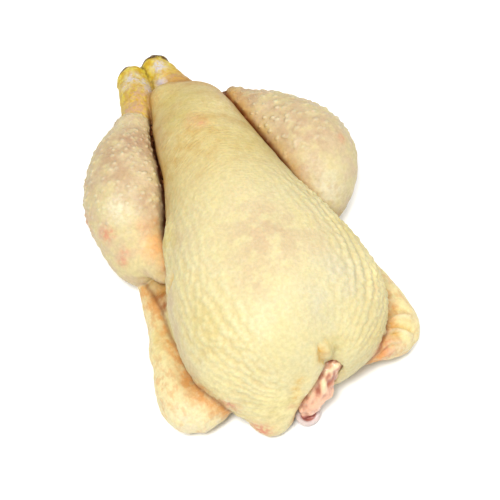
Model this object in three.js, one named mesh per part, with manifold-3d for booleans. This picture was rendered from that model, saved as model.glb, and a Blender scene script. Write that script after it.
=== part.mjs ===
// A whole raw chicken lying on its back, breast up, plucked, without head or feet.
// Millimetres. +Z is up, the neck end is towards -Y and the leg ends towards +Y.
// The skin is one closed surface: the level set of a field that joins the trunk, the legs, the wings
// and the neck skin, each of them worked out from the sizes below.
import * as THREE from 'three';
import Module from 'manifold-3d';

// Net of faces
const BIRD_CELL = 6;
const NECK_CELL = 2.1;
const SETTLE_STEPS = 8;
const CELL_MARGIN = 0.04;
const GRADIENT_STEP = 0.05;
const SEAT_GAP = 0.4;
const GROUND_SINK = 3.0;

// Trunk: sections from the neck end to the vent. x is the middle, w half the width, top the crown
// of the breast, waist the height of the widest line.
const TRUNK_SECTIONS = [
  { y: -135, x: -5.5, w: 71, top: 77.5, waist: 38.5 },
  { y: -107.5, x: -5.5, w: 71, top: 93, waist: 41.5 },
  { y: -80, x: -5.5, w: 68.5, top: 99.5, waist: 43 },
  { y: -47.5, x: -5.5, w: 61, top: 101, waist: 45 },
  { y: -11, x: -4, w: 48.5, top: 98.5, waist: 45 },
  { y: 21.5, x: -1.75, w: 40.75, top: 91, waist: 44 },
  { y: 58, x: 0, w: 35.5, top: 81, waist: 42.5 },
  { y: 104, x: 6.5, w: 33, top: 67, waist: 38.5 },
];
const TRUNK_FRONT = -136;
const TRUNK_REAR = 111.5;
const TRUNK_END_POWER = 5.5;
const TRUNK_ROUNDNESS = 2.2;
const KEEL_RISE = 2;
const KEEL_WIDTH = 13;

// Legs: the knee is the forward end of the bulb, the ankle its narrow end
const LEFT_LEG = [
  { at: [-42, 34.5, 27.5], r: 26 },
  { at: [-64, 2, 25], r: 18.5 },
  { at: [-60, 32, 37.5], r: 30 },
  { at: [-50.5, 62, 41.5], r: 24 },
  { at: [-37.5, 84, 44], r: 14 },
];
const RIGHT_LEG = [
  { at: [35, 25, 26], r: 26 },
  { at: [53.5, -6, 27.5], r: 18.5 },
  { at: [63.5, 19.5, 39.5], r: 31.5 },
  { at: [53.5, 50, 42.5], r: 25 },
  { at: [35, 76.5, 42.5], r: 15.5 },
];

// Hocks: bare scaly ends beyond the leg skin
const LEFT_HOCK = [
  { at: [-34.5, 84, 43], r: 10 },
  { at: [-24.5, 108, 40.5], r: 12 },
  { at: [-18.5, 133, 35], r: 11.5 },
];
const RIGHT_HOCK = [
  { at: [29, 78.5, 40.5], r: 13 },
  { at: [8.5, 103.5, 38.5], r: 12.5 },
  { at: [-0.5, 136, 35], r: 11.5 },
];

// The joint ends where the feet came off: cut across, with a groove between the two knuckles
const HOCK_CUT = 8;
const HOCK_CUT_SOFTNESS = 4.5;
const GROOVE_DEPTH = 2.2;
const GROOVE_WIDTH = 3.5;

// Wings: from the shoulder out to the elbow, then back along the side to the tip
const WING_FLATNESS = 1.25;
const LEFT_WING = [
  { at: [-47.5, -103.5, 24], r: 15.5 },
  { at: [-76, -105.5, 14.5], r: 17.5 },
  { at: [-75, -74, 14.5], r: 14 },
  { at: [-69.5, -43, 14], r: 11 },
  { at: [-66, -13.5, 13], r: 7.5 },
];
const RIGHT_WING = [
  { at: [39, -111, 24], r: 15.5 },
  { at: [64.5, -109, 15.5], r: 15 },
  { at: [66.5, -85.5, 16.5], r: 13 },
  { at: [63, -59.5, 18.5], r: 10 },
  { at: [55.5, -34, 18.5], r: 8.5 },
];

// Flanks: the low skin that closes the space between the trunk, the thigh and the wing
const LEFT_FLANK = [
  { at: [-47.5, 30.5, 18.5], r: 16.5 },
  { at: [-56, -11.5, 15.5], r: 14 },
  { at: [-58.5, -57.5, 15.5], r: 14 },
];
const RIGHT_FLANK = [
  { at: [42.5, 21.5, 18.5], r: 16.5 },
  { at: [50, -21, 16.5], r: 14.5 },
  { at: [52, -63, 16.5], r: 14 },
];

// Skin folds on the left: a web from the knee to the breast, and the breast's rolled edge above it
const KNEE_WEB = [
  { at: [-60, -2, 36], r: 13 },
  { at: [-55, -20, 37], r: 11 },
  { at: [-52.5, -31, 38], r: 7 },
];
const BREAST_RIM = [
  { at: [-39, 0, 62], r: 5 },
  { at: [-45.5, -14, 63], r: 8 },
  { at: [-50, -27, 61], r: 8.5 },
  { at: [-51, -36, 58], r: 7 },
];

// Neck: a lobe of loose skin hangs from the breast to the ground, left of the neck's raw end
const SKIN_LOBE = [
  { at: [-20, -105.5, 57], r: 24 },
  { at: [-29, -114.5, 31.5], r: 22 },
  { at: [-32, -129.5, 12], r: 13.5 },
];
const NOTCH = [
  { at: [8, -131.5, 56], r: 3.5 },
  { at: [3.5, -134.5, 37], r: 9.5 },
  { at: [-3.5, -139, 22], r: 12.5 },
  { at: [-8, -150, 5.5], r: 12 },
];
const NOTCH_SOFTNESS = 6.5;
const NECK = [
  { at: [10, -109, 38.5], r: 9.5 },
  { at: [5.5, -120, 37], r: 8 },
  { at: [-1.5, -128, 28], r: 9 },
  { at: [-9, -132, 19], r: 8 },
  { at: [-10.5, -134.5, 5.2], r: 4.8 },
];
const NECK_LUMPS = [
  { at: [5, -130, 37], r: 4.5 },
  { at: [8, -126, 31], r: 4.5 },
  { at: [-3, -135, 29], r: 4 },
  { at: [2, -135, 24], r: 4 },
  { at: [-8, -138.5, 20], r: 3.5 },
];
const WINDPIPE = { at: [-10.5, -136.5, 8], ring: 6.6, wall: 1.8, tilt: 2.2 };

// Rear: the full left corner of the belly, the tail, and the fold of the vent above the tail
const BELLY_CORNER = [
  { at: [-4, 82, 46], r: 15 },
  { at: [-7, 97.5, 45], r: 13.5 },
];
const TAIL = [
  { at: [-3.5, 80.5, 16.5], r: 18.5 },
  { at: [-2.5, 100.5, 15.5], r: 11 },
  { at: [-2.5, 115.5, 18.5], r: 6.5 },
];
const VENT = [
  { at: [-14.5, 110, 40.5], r: 3 },
  { at: [-1.5, 108, 37], r: 3.5 },
  { at: [11.5, 110, 40.5], r: 3 },
];

// Widths over which one form runs into the next
const LOBE_BLEND = 16;
const TAIL_BLEND = 8;
const CORNER_BLEND = 8;
const FLANK_BLEND = 10;
const RIM_BLEND = 5;
const WEB_BLEND = 5;
const VENT_BLEND = 6;
const WING_BLEND = 4;
const HOCK_BLEND = 3;
const LEG_BLEND = 5.5;
const LUMP_BLEND = 2;
const WINDPIPE_BLEND = 1.5;

// Boxes in which the two closed surfaces are looked for
const BIRD_BOX = [[-108, -158, -14], [108, 158, 112]];
const NECK_BOX = [[-28, -152, -4], [28, -92, 56]];

/** Smooth union of two distances over a blend of width k. */
function join(a, b, k) {
  const h = Math.max(k - Math.abs(a - b), 0) / k;
  return Math.min(a, b) - h * h * k * 0.25;
}

/** Smooth curve through the values of one key of some rows, t counted in rows. */
function through(rows, key, t) {
  const i = THREE.MathUtils.clamp(Math.floor(t), 0, rows.length - 2);
  const before = rows[Math.max(i - 1, 0)][key];
  const after = rows[Math.min(i + 2, rows.length - 1)][key];
  const a = rows[i][key];
  const b = rows[i + 1][key];
  const s = t - i;
  const s2 = s * s;
  const s3 = s2 * s;
  const inward = (b - before) * 0.5;
  const outward = (after - a) * 0.5;
  return (2 * s3 - 3 * s2 + 1) * a + (s3 - 2 * s2 + s) * inward + (3 * s2 - 2 * s3) * b + (s3 - s2) * outward;
}

/** Smooth value of one key of the trunk sections at y. */
function sectionValue(y, key) {
  const rows = TRUNK_SECTIONS;
  let i = 0;
  while (i < rows.length - 2 && y > rows[i + 1].y) i += 1;
  const t = i + THREE.MathUtils.clamp((y - rows[i].y) / (rows[i + 1].y - rows[i].y), 0, 1);
  return through(rows, key, t);
}

/** Distance to the trunk. */
function trunk(p) {
  const y = THREE.MathUtils.clamp(p.y, TRUNK_FRONT, TRUNK_REAR);
  const w = sectionValue(y, 'w');
  const waist = sectionValue(y, 'waist');
  const x = p.x - sectionValue(y, 'x');
  const keel = KEEL_RISE * (Math.exp(-((x / KEEL_WIDTH) ** 2)) - 1);
  const top = sectionValue(y, 'top') + keel;
  const h = p.z > waist ? top - waist : waist + GROUND_SINK;
  const n = TRUNK_ROUNDNESS;
  const middle = (TRUNK_FRONT + TRUNK_REAR) / 2;
  const along = Math.abs((p.y - middle) / ((TRUNK_REAR - TRUNK_FRONT) / 2)) ** TRUNK_END_POWER;
  const g = (Math.abs(x / w) ** n + Math.abs((p.z - waist) / h) ** n + along) ** (1 / n);
  return (g - 1) * Math.min(w, h);
}

/** A limb: round sections along a smooth spine; flatness squeezes it in height. */
function limb(knots, flatness = 1, steps = 20) {
  const curve = new THREE.CatmullRomCurve3(knots.map((k) => new THREE.Vector3(...k.at)), false, 'centripetal');
  const balls = [];
  for (let i = 0; i <= steps; i += 1) {
    const t = i / steps;
    balls.push({ c: curve.getPoint(t), r: through(knots, 'r', t * (knots.length - 1)) });
  }
  return (p) => {
    let best = Infinity;
    for (let i = 0; i < steps; i += 1) {
      const a = balls[i];
      const b = balls[i + 1];
      const dx = b.c.x - a.c.x;
      const dy = b.c.y - a.c.y;
      const dz = (b.c.z - a.c.z) * flatness;
      const px = p.x - a.c.x;
      const py = p.y - a.c.y;
      const pz = (p.z - a.c.z) * flatness;
      const t = THREE.MathUtils.clamp((px * dx + py * dy + pz * dz) / (dx * dx + dy * dy + dz * dz), 0, 1);
      const d = Math.hypot(px - t * dx, py - t * dy, pz - t * dz) - (a.r + (b.r - a.r) * t);
      best = Math.min(best, d);
    }
    return best;
  };
}

/** A hock: a limb cut across near its end and grooved down the middle of the end. */
function hock(knots) {
  const shaft = limb(knots);
  const end = new THREE.Vector3(...knots[2].at);
  const along = end.clone().sub(new THREE.Vector3(...knots[1].at)).normalize();
  const across = new THREE.Vector3(0, 0, 1).cross(along).normalize();
  return (p) => {
    const x = p.x - end.x;
    const y = p.y - end.y;
    const z = p.z - end.z;
    const out = x * along.x + y * along.y + z * along.z;
    const side = x * across.x + y * across.y + z * across.z;
    const groove = GROOVE_DEPTH * Math.exp(-((side / GROOVE_WIDTH) ** 2));
    return -join(-shaft(p), HOCK_CUT - groove - out, HOCK_CUT_SOFTNESS);
  };
}

const leftLeg = limb(LEFT_LEG);
const rightLeg = limb(RIGHT_LEG);
const leftHock = hock(LEFT_HOCK);
const rightHock = hock(RIGHT_HOCK);
const leftWing = limb(LEFT_WING, WING_FLATNESS);
const rightWing = limb(RIGHT_WING, WING_FLATNESS);
const leftFlank = limb(LEFT_FLANK);
const rightFlank = limb(RIGHT_FLANK);
const kneeWeb = limb(KNEE_WEB);
const breastRim = limb(BREAST_RIM);
const skinLobe = limb(SKIN_LOBE);
const notch = limb(NOTCH);
const bellyCorner = limb(BELLY_CORNER);
const tail = limb(TAIL);
const vent = limb(VENT);
const neckSpine = limb(NECK);

/** Distance to the skin-covered bird. */
function bird(p) {
  let d = join(trunk(p), skinLobe(p), LOBE_BLEND);
  d = join(d, tail(p), TAIL_BLEND);
  d = join(d, bellyCorner(p), CORNER_BLEND);
  d = join(d, Math.min(leftFlank(p), rightFlank(p)), FLANK_BLEND);
  d = join(d, breastRim(p), RIM_BLEND);
  d = -join(-d, vent(p), VENT_BLEND);
  d = -join(-d, notch(p), NOTCH_SOFTNESS);
  d = join(d, leftWing(p), WING_BLEND);
  d = join(d, rightWing(p), WING_BLEND);
  const left = join(join(leftLeg(p), leftHock(p), HOCK_BLEND), kneeWeb(p), WEB_BLEND);
  const right = join(rightLeg(p), rightHock(p), HOCK_BLEND);
  return join(d, Math.min(left, right), LEG_BLEND);
}

/** Distance to the neck's raw end, with the ring of the windpipe at its tip. */
function neck(p) {
  const [x, y, z] = WINDPIPE.at;
  const c = Math.cos(WINDPIPE.tilt);
  const s = Math.sin(WINDPIPE.tilt);
  const u = p.x - x;
  const v = (p.y - y) * c + (p.z - z) * s;
  const w = (p.z - z) * c - (p.y - y) * s;
  const ring = Math.hypot(Math.hypot(u, w) - WINDPIPE.ring, v) - WINDPIPE.wall;
  const lumps = NECK_LUMPS.map((lump) => {
    const [a, b, h] = lump.at;
    return Math.hypot(p.x - a, p.y - b, p.z - h) - lump.r;
  });
  return join(join(neckSpine(p), Math.min(...lumps), LUMP_BLEND), ring, WINDPIPE_BLEND);
}

/** Gradient of a field. */
function gradient(field, p) {
  const e = GRADIENT_STEP;
  const at = (x, y, z) => field({ x: p.x + x, y: p.y + y, z: p.z + z });
  return new THREE.Vector3(
    at(e, 0, 0) - at(-e, 0, 0),
    at(0, e, 0) - at(0, -e, 0),
    at(0, 0, e) - at(0, 0, -e),
  ).divideScalar(2 * e);
}

// A cell's twelve edges, as pairs of its eight corners; bit 0, 1 and 2 of a corner are x, y and z
const CORNERS = [0, 1, 2, 3, 4, 5, 6, 7];
const EDGES = CORNERS.flatMap((a) => [1, 2, 4].filter((bit) => !(a & bit)).map((bit) => [a, a | bit]));
const edgeOf = (a, b) => EDGES.findIndex(([p, q]) => (p === a && q === b) || (p === b && q === a));
const FACES = [1, 2, 4].flatMap((bit) => {
  const [u, v] = [1, 2, 4].filter((other) => other !== bit);
  return [0, bit].map((base) => [base, base | u, base | u | v, base | v]);
});

/** Loops of crossed edges in a cell: each loop is one sheet of the surface. */
function sheets(inside) {
  const links = EDGES.map(() => []);
  FACES.forEach((face) => {
    const crossed = face.map((a, i) => [a, face[(i + 1) % 4]]).filter(([a, b]) => inside[a] !== inside[b]);
    const pairs = [];
    if (crossed.length === 2) pairs.push(crossed);
    if (crossed.length === 4) {
      face.filter((a) => inside[a]).forEach((a) => pairs.push(crossed.filter((edge) => edge.includes(a))));
    }
    pairs.forEach(([one, two]) => {
      links[edgeOf(...one)].push(edgeOf(...two));
      links[edgeOf(...two)].push(edgeOf(...one));
    });
  });
  const loops = [];
  const seen = new Set();
  EDGES.forEach((edge, first) => {
    if (seen.has(first) || !links[first].length) return;
    const loop = [];
    const open = [first];
    while (open.length) {
      const e = open.pop();
      if (!seen.has(e)) {
        seen.add(e);
        loop.push(e);
        open.push(...links[e]);
      }
    }
    loops.push(loop);
  });
  return loops;
}

/** Closed net of faces on a field's zero level, one point to each sheet of the surface in a cell. */
function net(field, low, high, cell) {
  const n = [0, 1, 2].map((k) => Math.ceil((high[k] - low[k]) / cell));
  const index = (i, j, k) => i + (n[0] + 1) * (j + (n[1] + 1) * k);
  const values = new Float64Array((n[0] + 1) * (n[1] + 1) * (n[2] + 1));
  for (let k = 0; k <= n[2]; k += 1) {
    for (let j = 0; j <= n[1]; j += 1) {
      for (let i = 0; i <= n[0]; i += 1) {
        values[index(i, j, k)] = field({ x: low[0] + i * cell, y: low[1] + j * cell, z: low[2] + k * cell });
      }
    }
  }
  const cornerAt = (i, j, k, c) => [i + (c & 1), j + ((c >> 1) & 1), k + (c >> 2)];
  const place = (a) => new THREE.Vector3(low[0] + a[0] * cell, low[1] + a[1] * cell, low[2] + a[2] * cell);
  const vertexOf = new Map();
  const positions = [];
  for (let k = 0; k < n[2]; k += 1) {
    for (let j = 0; j < n[1]; j += 1) {
      for (let i = 0; i < n[0]; i += 1) {
        const corners = CORNERS.map((c) => cornerAt(i, j, k, c));
        const f = corners.map((a) => values[index(...a)]);
        const inside = f.map((q) => q < 0);
        const filled = inside.filter(Boolean).length;
        if (filled > 0 && filled < 8) {
          sheets(inside).forEach((loop) => {
            const p = new THREE.Vector3();
            loop.forEach((e) => {
              const [a, b] = EDGES[e];
              p.add(place(corners[a]).lerp(place(corners[b]), f[a] / (f[a] - f[b])));
              vertexOf.set(index(i, j, k) * 12 + e, positions.length / 3);
            });
            p.divideScalar(loop.length);
            const near = place(corners[0]).addScalar(CELL_MARGIN * cell);
            const far = place(corners[7]).addScalar(-CELL_MARGIN * cell);
            const planes = loop.map((e) => {
              const [a, b] = EDGES[e];
              const on = place(corners[a]).lerp(place(corners[b]), f[a] / (f[a] - f[b]));
              return { on, normal: gradient(field, on).normalize() };
            });
            for (let s = 0; s < SETTLE_STEPS; s += 1) {
              const pull = new THREE.Vector3();
              planes.forEach(({ on, normal }) => {
                pull.addScaledVector(normal, normal.dot(on) - normal.dot(p));
              });
              p.addScaledVector(pull, 1 / planes.length).clamp(near, far);
            }
            positions.push(p.x, p.y, p.z);
          });
        }
      }
    }
  }
  const faces = [];
  const spot = (q) => new THREE.Vector3().fromArray(positions, q * 3);
  for (let k = 1; k < n[2]; k += 1) {
    for (let j = 1; j < n[1]; j += 1) {
      for (let i = 1; i < n[0]; i += 1) {
        for (let axis = 0; axis < 3; axis += 1) {
          const here = [i, j, k];
          const there = here.map((q, s) => q + (s === axis ? 1 : 0));
          const filled = values[index(...here)] < 0;
          if (filled !== values[index(...there)] < 0) {
            const u = (axis + 1) % 3;
            const v = (axis + 2) % 3;
            const ring = [[1, 1], [0, 1], [0, 0], [1, 0]].map(([du, dv]) => {
              const a = [i, j, k];
              a[u] -= du;
              a[v] -= dv;
              const from = (du << u) | (dv << v);
              return vertexOf.get(index(...a) * 12 + edgeOf(from, from | (1 << axis)));
            });
            if (!filled) ring.reverse();
            const [a, b, c, d] = ring;
            if (spot(a).distanceTo(spot(c)) < spot(b).distanceTo(spot(d))) faces.push(a, b, c, a, c, d);
            else faces.push(a, b, d, b, c, d);
          }
        }
      }
    }
  }
  const geometry = new THREE.BufferGeometry();
  geometry.setAttribute('position', new THREE.Float32BufferAttribute(positions, 3));
  geometry.setIndex(faces);
  return geometry;
}

const wasm = await Module();
wasm.setup();

/** A geometry with merged vertices as a solid. */
function solidOf(geometry) {
  return new wasm.Manifold(new wasm.Mesh({
    numProp: 3,
    vertProperties: new Float32Array(geometry.attributes.position.array),
    triVerts: new Uint32Array(geometry.index.array),
  }));
}

/** A solid as a geometry. */
function geometryOf(solid) {
  const { vertProperties, triVerts } = solid.getMesh();
  const geometry = new THREE.BufferGeometry();
  geometry.setAttribute('position', new THREE.Float32BufferAttribute(vertProperties, 3));
  geometry.setIndex(new THREE.Uint32BufferAttribute(triVerts, 1));
  geometry.computeVertexNormals();
  return geometry;
}

/** The same geometry with each vertex moved out along its normal. */
function swollen(geometry, distance) {
  const copy = geometry.clone();
  copy.computeVertexNormals();
  const spots = copy.attributes.position;
  const normals = copy.attributes.normal;
  for (let i = 0; i < spots.count; i += 1) {
    spots.setXYZ(
      i,
      spots.getX(i) + normals.getX(i) * distance,
      spots.getY(i) + normals.getY(i) * distance,
      spots.getZ(i) + normals.getZ(i) * distance,
    );
  }
  return copy;
}

/** Flattens whatever sinks below the ground, which makes the face that the bird rests on. */
function rested(geometry) {
  const spots = geometry.attributes.position;
  for (let i = 0; i < spots.count; i += 1) spots.setZ(i, Math.max(spots.getZ(i), 0));
  return geometry;
}

const birdNet = rested(net(bird, ...BIRD_BOX, BIRD_CELL));
const neckNet = net(neck, ...NECK_BOX, NECK_CELL);
const birdGeometry = geometryOf(solidOf(birdNet).subtract(solidOf(swollen(neckNet, SEAT_GAP))));
neckNet.computeVertexNormals();

const skin = new THREE.MeshStandardMaterial({ color: 0xe6cf96, roughness: 0.5, metalness: 0 });
const flesh = new THREE.MeshStandardMaterial({ color: 0xc98f78, roughness: 0.45, metalness: 0 });
const carcass = new THREE.Mesh(birdGeometry, skin);
carcass.name = 'skin_covered_bird';
const rawNeck = new THREE.Mesh(neckNet, flesh);
rawNeck.name = 'neck_flesh';

// The origin is the middle of the outer box, on the ground
const chicken = new THREE.Group();
chicken.add(carcass, rawNeck);
const middle = new THREE.Box3().setFromObject(chicken).getCenter(new THREE.Vector3()).setZ(0);
chicken.children.forEach((mesh) => mesh.position.sub(middle));
export default chicken;
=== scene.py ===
"""A whole raw corn-fed chicken lying on its back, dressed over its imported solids.

The skin and the raw neck are level sets of the same smooth fields as the solids, meshed finely. All
sizes in the classes are millimetres in the bird's own drawing frame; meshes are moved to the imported
frame and turned to metres when they are made.
"""

import logging
import math
from collections.abc import Callable
from dataclasses import dataclass
from enum import Enum

import bpy
import numpy as np
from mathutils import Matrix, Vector


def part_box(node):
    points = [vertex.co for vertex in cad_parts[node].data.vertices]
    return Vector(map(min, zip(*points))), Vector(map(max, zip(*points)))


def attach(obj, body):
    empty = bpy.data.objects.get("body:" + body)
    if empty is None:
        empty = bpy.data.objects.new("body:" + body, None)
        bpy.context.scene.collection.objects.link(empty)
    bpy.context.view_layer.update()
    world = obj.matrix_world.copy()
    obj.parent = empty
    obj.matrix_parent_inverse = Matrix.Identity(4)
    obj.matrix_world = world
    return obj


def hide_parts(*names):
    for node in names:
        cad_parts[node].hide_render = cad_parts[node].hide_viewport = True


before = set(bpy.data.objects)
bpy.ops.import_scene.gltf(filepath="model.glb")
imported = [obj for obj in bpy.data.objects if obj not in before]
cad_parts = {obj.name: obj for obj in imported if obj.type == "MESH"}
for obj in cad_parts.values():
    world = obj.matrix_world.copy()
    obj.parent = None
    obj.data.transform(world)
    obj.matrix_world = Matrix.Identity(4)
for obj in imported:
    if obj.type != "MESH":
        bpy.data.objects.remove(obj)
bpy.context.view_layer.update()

LOG = logging.getLogger("chicken")
MM = 0.001
WHITE = 1.63                                  # how bright a white surface looks in the studio
HASH = (73856093, 19349663, 83492791)         # primes that scatter whole-number places
TABLE = 4096                                  # random values that they are scattered over
MIDLINE = -5.5                                # where the ridge of the breast lies, across the body

Points = np.ndarray
Field = Callable[[Points], np.ndarray]
Triple = tuple[float, float, float]


def colour(code: str, light: float = WHITE) -> tuple[float, float, float, float]:
    """Turn a colour as it looks in the studio into the surface's own colour.

    Args:
        code: Six hexadecimal digits.
        light: How bright a white surface looks there.

    Returns:
        Linear red, green and blue, and an alpha of 1.
    """
    values = (int(code[i:i + 2], 16) / 255 for i in (0, 2, 4))
    linear = [(v / 12.92 if v <= 0.04045 else ((v + 0.055) / 1.055) ** 2.4) / light for v in values]
    return (linear[0], linear[1], linear[2], 1.0)


def ease(value: np.ndarray, low: float, high: float) -> np.ndarray:
    """Rise smoothly from 0 at low to 1 at high.

    Args:
        value: The values to shape.
        low: Where the rise starts.
        high: Where it ends; it may be below low.

    Returns:
        Values between 0 and 1.
    """
    t = np.clip((value - low) / (high - low), 0.0, 1.0)
    return t * t * (3 - 2 * t)


def join(a: np.ndarray, b: np.ndarray, soft: float) -> np.ndarray:
    """Join two distances into one over a soft width.

    Args:
        a: Distances to one form.
        b: Distances to the other.
        soft: Width of the blend.

    Returns:
        Distances to both forms together.
    """
    h = np.maximum(soft - np.abs(a - b), 0.0) / soft
    return np.minimum(a, b) - h * h * soft * 0.25


def through(values: list[float], t: float) -> float:
    """Read a smooth curve through a row of values.

    Args:
        values: The row.
        t: Place along it, counted in values.

    Returns:
        The curve's height there.
    """
    i = min(max(int(math.floor(t)), 0), len(values) - 2)
    a, b = values[i], values[i + 1]
    inward = (b - values[max(i - 1, 0)]) * 0.5
    outward = (values[min(i + 2, len(values) - 1)] - a) * 0.5
    s = t - i
    s2, s3 = s * s, s * s * s
    leaving = (2 * s3 - 3 * s2 + 1) * a + (s3 - 2 * s2 + s) * inward
    return leaving + (3 * s2 - 2 * s3) * b + (s3 - s2) * outward


@dataclass(frozen=True)
class Fade:
    """A smooth rise from 0 at the start to 1 at the end, which may lie below the start."""

    start: float
    end: float

    def at(self, value: np.ndarray) -> np.ndarray:
        """Read the rise."""
        return ease(value, self.start, self.end)


class Mottle:
    """Smooth random variation in space, the same on every run."""

    def __init__(self, seed: int) -> None:
        """Draw the table of random heights from the seed."""
        self.table = np.random.default_rng(seed).uniform(-1.0, 1.0, TABLE)

    def _corner(self, i: np.ndarray, j: np.ndarray, k: np.ndarray) -> np.ndarray:
        """Give the random height of whole-number places."""
        return self.table[(i * HASH[0] ^ j * HASH[1] ^ k * HASH[2]) & (TABLE - 1)]

    def at(self, p: Points, size: float) -> np.ndarray:
        """Read the variation.

        Args:
            p: Places, one row each.
            size: Distance over which it changes.

        Returns:
            Heights between -1 and 1.
        """
        q = p / size
        base = np.floor(q).astype(np.int64)
        f = q - base
        f = f * f * (3 - 2 * f)
        total = np.zeros(len(p))
        for corner in range(8):
            d = np.array([corner & 1, corner >> 1 & 1, corner >> 2])
            weight = np.prod(np.where(d == 1, f, 1 - f), axis=1)
            total += weight * self._corner(*(base + d).T)
        return total


@dataclass(frozen=True)
class Knot:
    """A round section on the spine of a limb: its middle and its radius."""

    x: float
    y: float
    z: float
    r: float

    @property
    def at(self) -> np.ndarray:
        """Give the middle as a row."""
        return np.array([self.x, self.y, self.z])


@dataclass(frozen=True)
class Limb:
    """Round sections along a smooth spine, squeezed in height by the flatness."""

    knots: tuple[Knot, ...]
    flatness: float = 1.0
    steps: int = 20

    def spine(self) -> tuple[np.ndarray, np.ndarray]:
        """Lay the spine out.

        Returns:
            Its points and the radius at each.
        """
        at = [k.at for k in self.knots]
        at = [2 * at[0] - at[1], *at, 2 * at[-1] - at[-2]]
        spans = len(self.knots) - 1
        points, radii = [], []
        for step in range(self.steps + 1):
            t = step / self.steps * spans
            i = min(int(t), spans - 1)
            s = t - i
            p0, p1, p2, p3 = at[i:i + 4]
            d0, d1, d2 = (float(np.linalg.norm(b - a)) ** 0.5 for a, b in ((p0, p1), (p1, p2), (p2, p3)))
            leave = ((p1 - p0) / d0 - (p2 - p0) / (d0 + d1) + (p2 - p1) / d1) * d1
            reach = ((p2 - p1) / d1 - (p3 - p1) / (d1 + d2) + (p3 - p2) / d2) * d1
            points.append(p1 + s * leave + s * s * (3 * (p2 - p1) - 2 * leave - reach)
                          + s ** 3 * (2 * (p1 - p2) + leave + reach))
            radii.append(through([k.r for k in self.knots], t))
        return np.array(points), np.array(radii)

    def distance(self, p: Points) -> np.ndarray:
        """Measure to the limb's skin.

        Args:
            p: Places, one row each.

        Returns:
            Distances, negative inside.
        """
        centres, radii = self.spine()
        squeeze = np.array([1.0, 1.0, self.flatness])
        q = p * squeeze
        centres = centres * squeeze
        best = np.full(len(p), np.inf)
        for a, b, ra, rb in zip(centres[:-1], centres[1:], radii[:-1], radii[1:]):
            run = b - a
            off = q - a
            t = np.clip(off @ run / (run @ run), 0.0, 1.0)
            off = off - t[:, None] * run
            np.minimum(best, np.sqrt(np.einsum("ij,ij->i", off, off)) - (ra + (rb - ra) * t), out=best)
        return best


@dataclass(frozen=True)
class Follicles:
    """Feather follicles in staggered rows, each a little out of its place."""

    across: float
    along: float
    stray: float
    seed: int
    slip: float = 0.5
    stretch: float = 1.0

    def nearest(self, grain: Points) -> tuple[np.ndarray, np.ndarray]:
        """Find the nearest follicle.

        Args:
            grain: Rows of place round and along the body, in millimetres.

        Returns:
            Squared distances to it, and its own chance between 0 and 1.
        """
        table = np.random.default_rng(self.seed).uniform(0.0, 1.0, (3, TABLE))
        u, v = grain[:, 0] / self.across, grain[:, 1] / self.along
        row = np.floor(v).astype(np.int64)
        best = np.full(len(u), np.inf)
        chance = np.zeros(len(u))
        for down in (-1, 0, 1):
            j = row + down
            slip = (j & 1) * self.slip
            first = np.floor(u - slip).astype(np.int64)
            for side in (-1, 0, 1):
                i = first + side
                key = (i * HASH[0] ^ j * HASH[1]) & (TABLE - 1)
                du = (u - slip - i - 0.5 - (table[0][key] - 0.5) * self.stray) * self.across
                dv = (v - j - 0.5 - (table[1][key] - 0.5) * self.stray) * self.along
                square = du * du + (dv / self.stretch) ** 2
                chance = np.where(square < best, table[2][key], chance)
                best = np.minimum(best, square)
        return best, chance


@dataclass(frozen=True)
class Fold:
    """A soft roll of skin, or a groove where its height is negative, along a line."""

    line: tuple[Triple, ...]
    height: float
    width: float

    def lift(self, p: Points) -> np.ndarray:
        """Work out how much it lifts the skin.

        Args:
            p: Places, one row each.

        Returns:
            Heights.
        """
        near = np.full(len(p), np.inf)
        for start, end in zip(self.line[:-1], self.line[1:]):
            a, run = np.array(start), np.array(end) - np.array(start)
            off = p - a
            off = off - np.clip(off @ run / (run @ run), 0.0, 1.0)[:, None] * run
            np.minimum(near, np.einsum("ij,ij->i", off, off), out=near)
        return self.height * np.exp(-near / self.width ** 2)


@dataclass(frozen=True)
class Patch:
    """Soft round patches of one colour on the skin, real stains and painted light alike: place, radius and
    strength of each.
    """

    name: str
    code: str
    patches: tuple[tuple[float, float, float, float, float], ...]
    grain: float = 6.0
    light: float = WHITE

    def mask(self, p: Points) -> np.ndarray:
        """Say how strong the patch is at each place.

        Args:
            p: Vertices.

        Returns:
            Amounts from 0 to 1.
        """
        strength = np.zeros(len(p))
        for x, y, z, radius, depth in self.patches:
            off = p - np.array([x, y, z])
            strength = np.maximum(strength, depth * np.exp(-np.einsum("ij,ij->i", off, off) / radius ** 2))
        return strength


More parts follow.
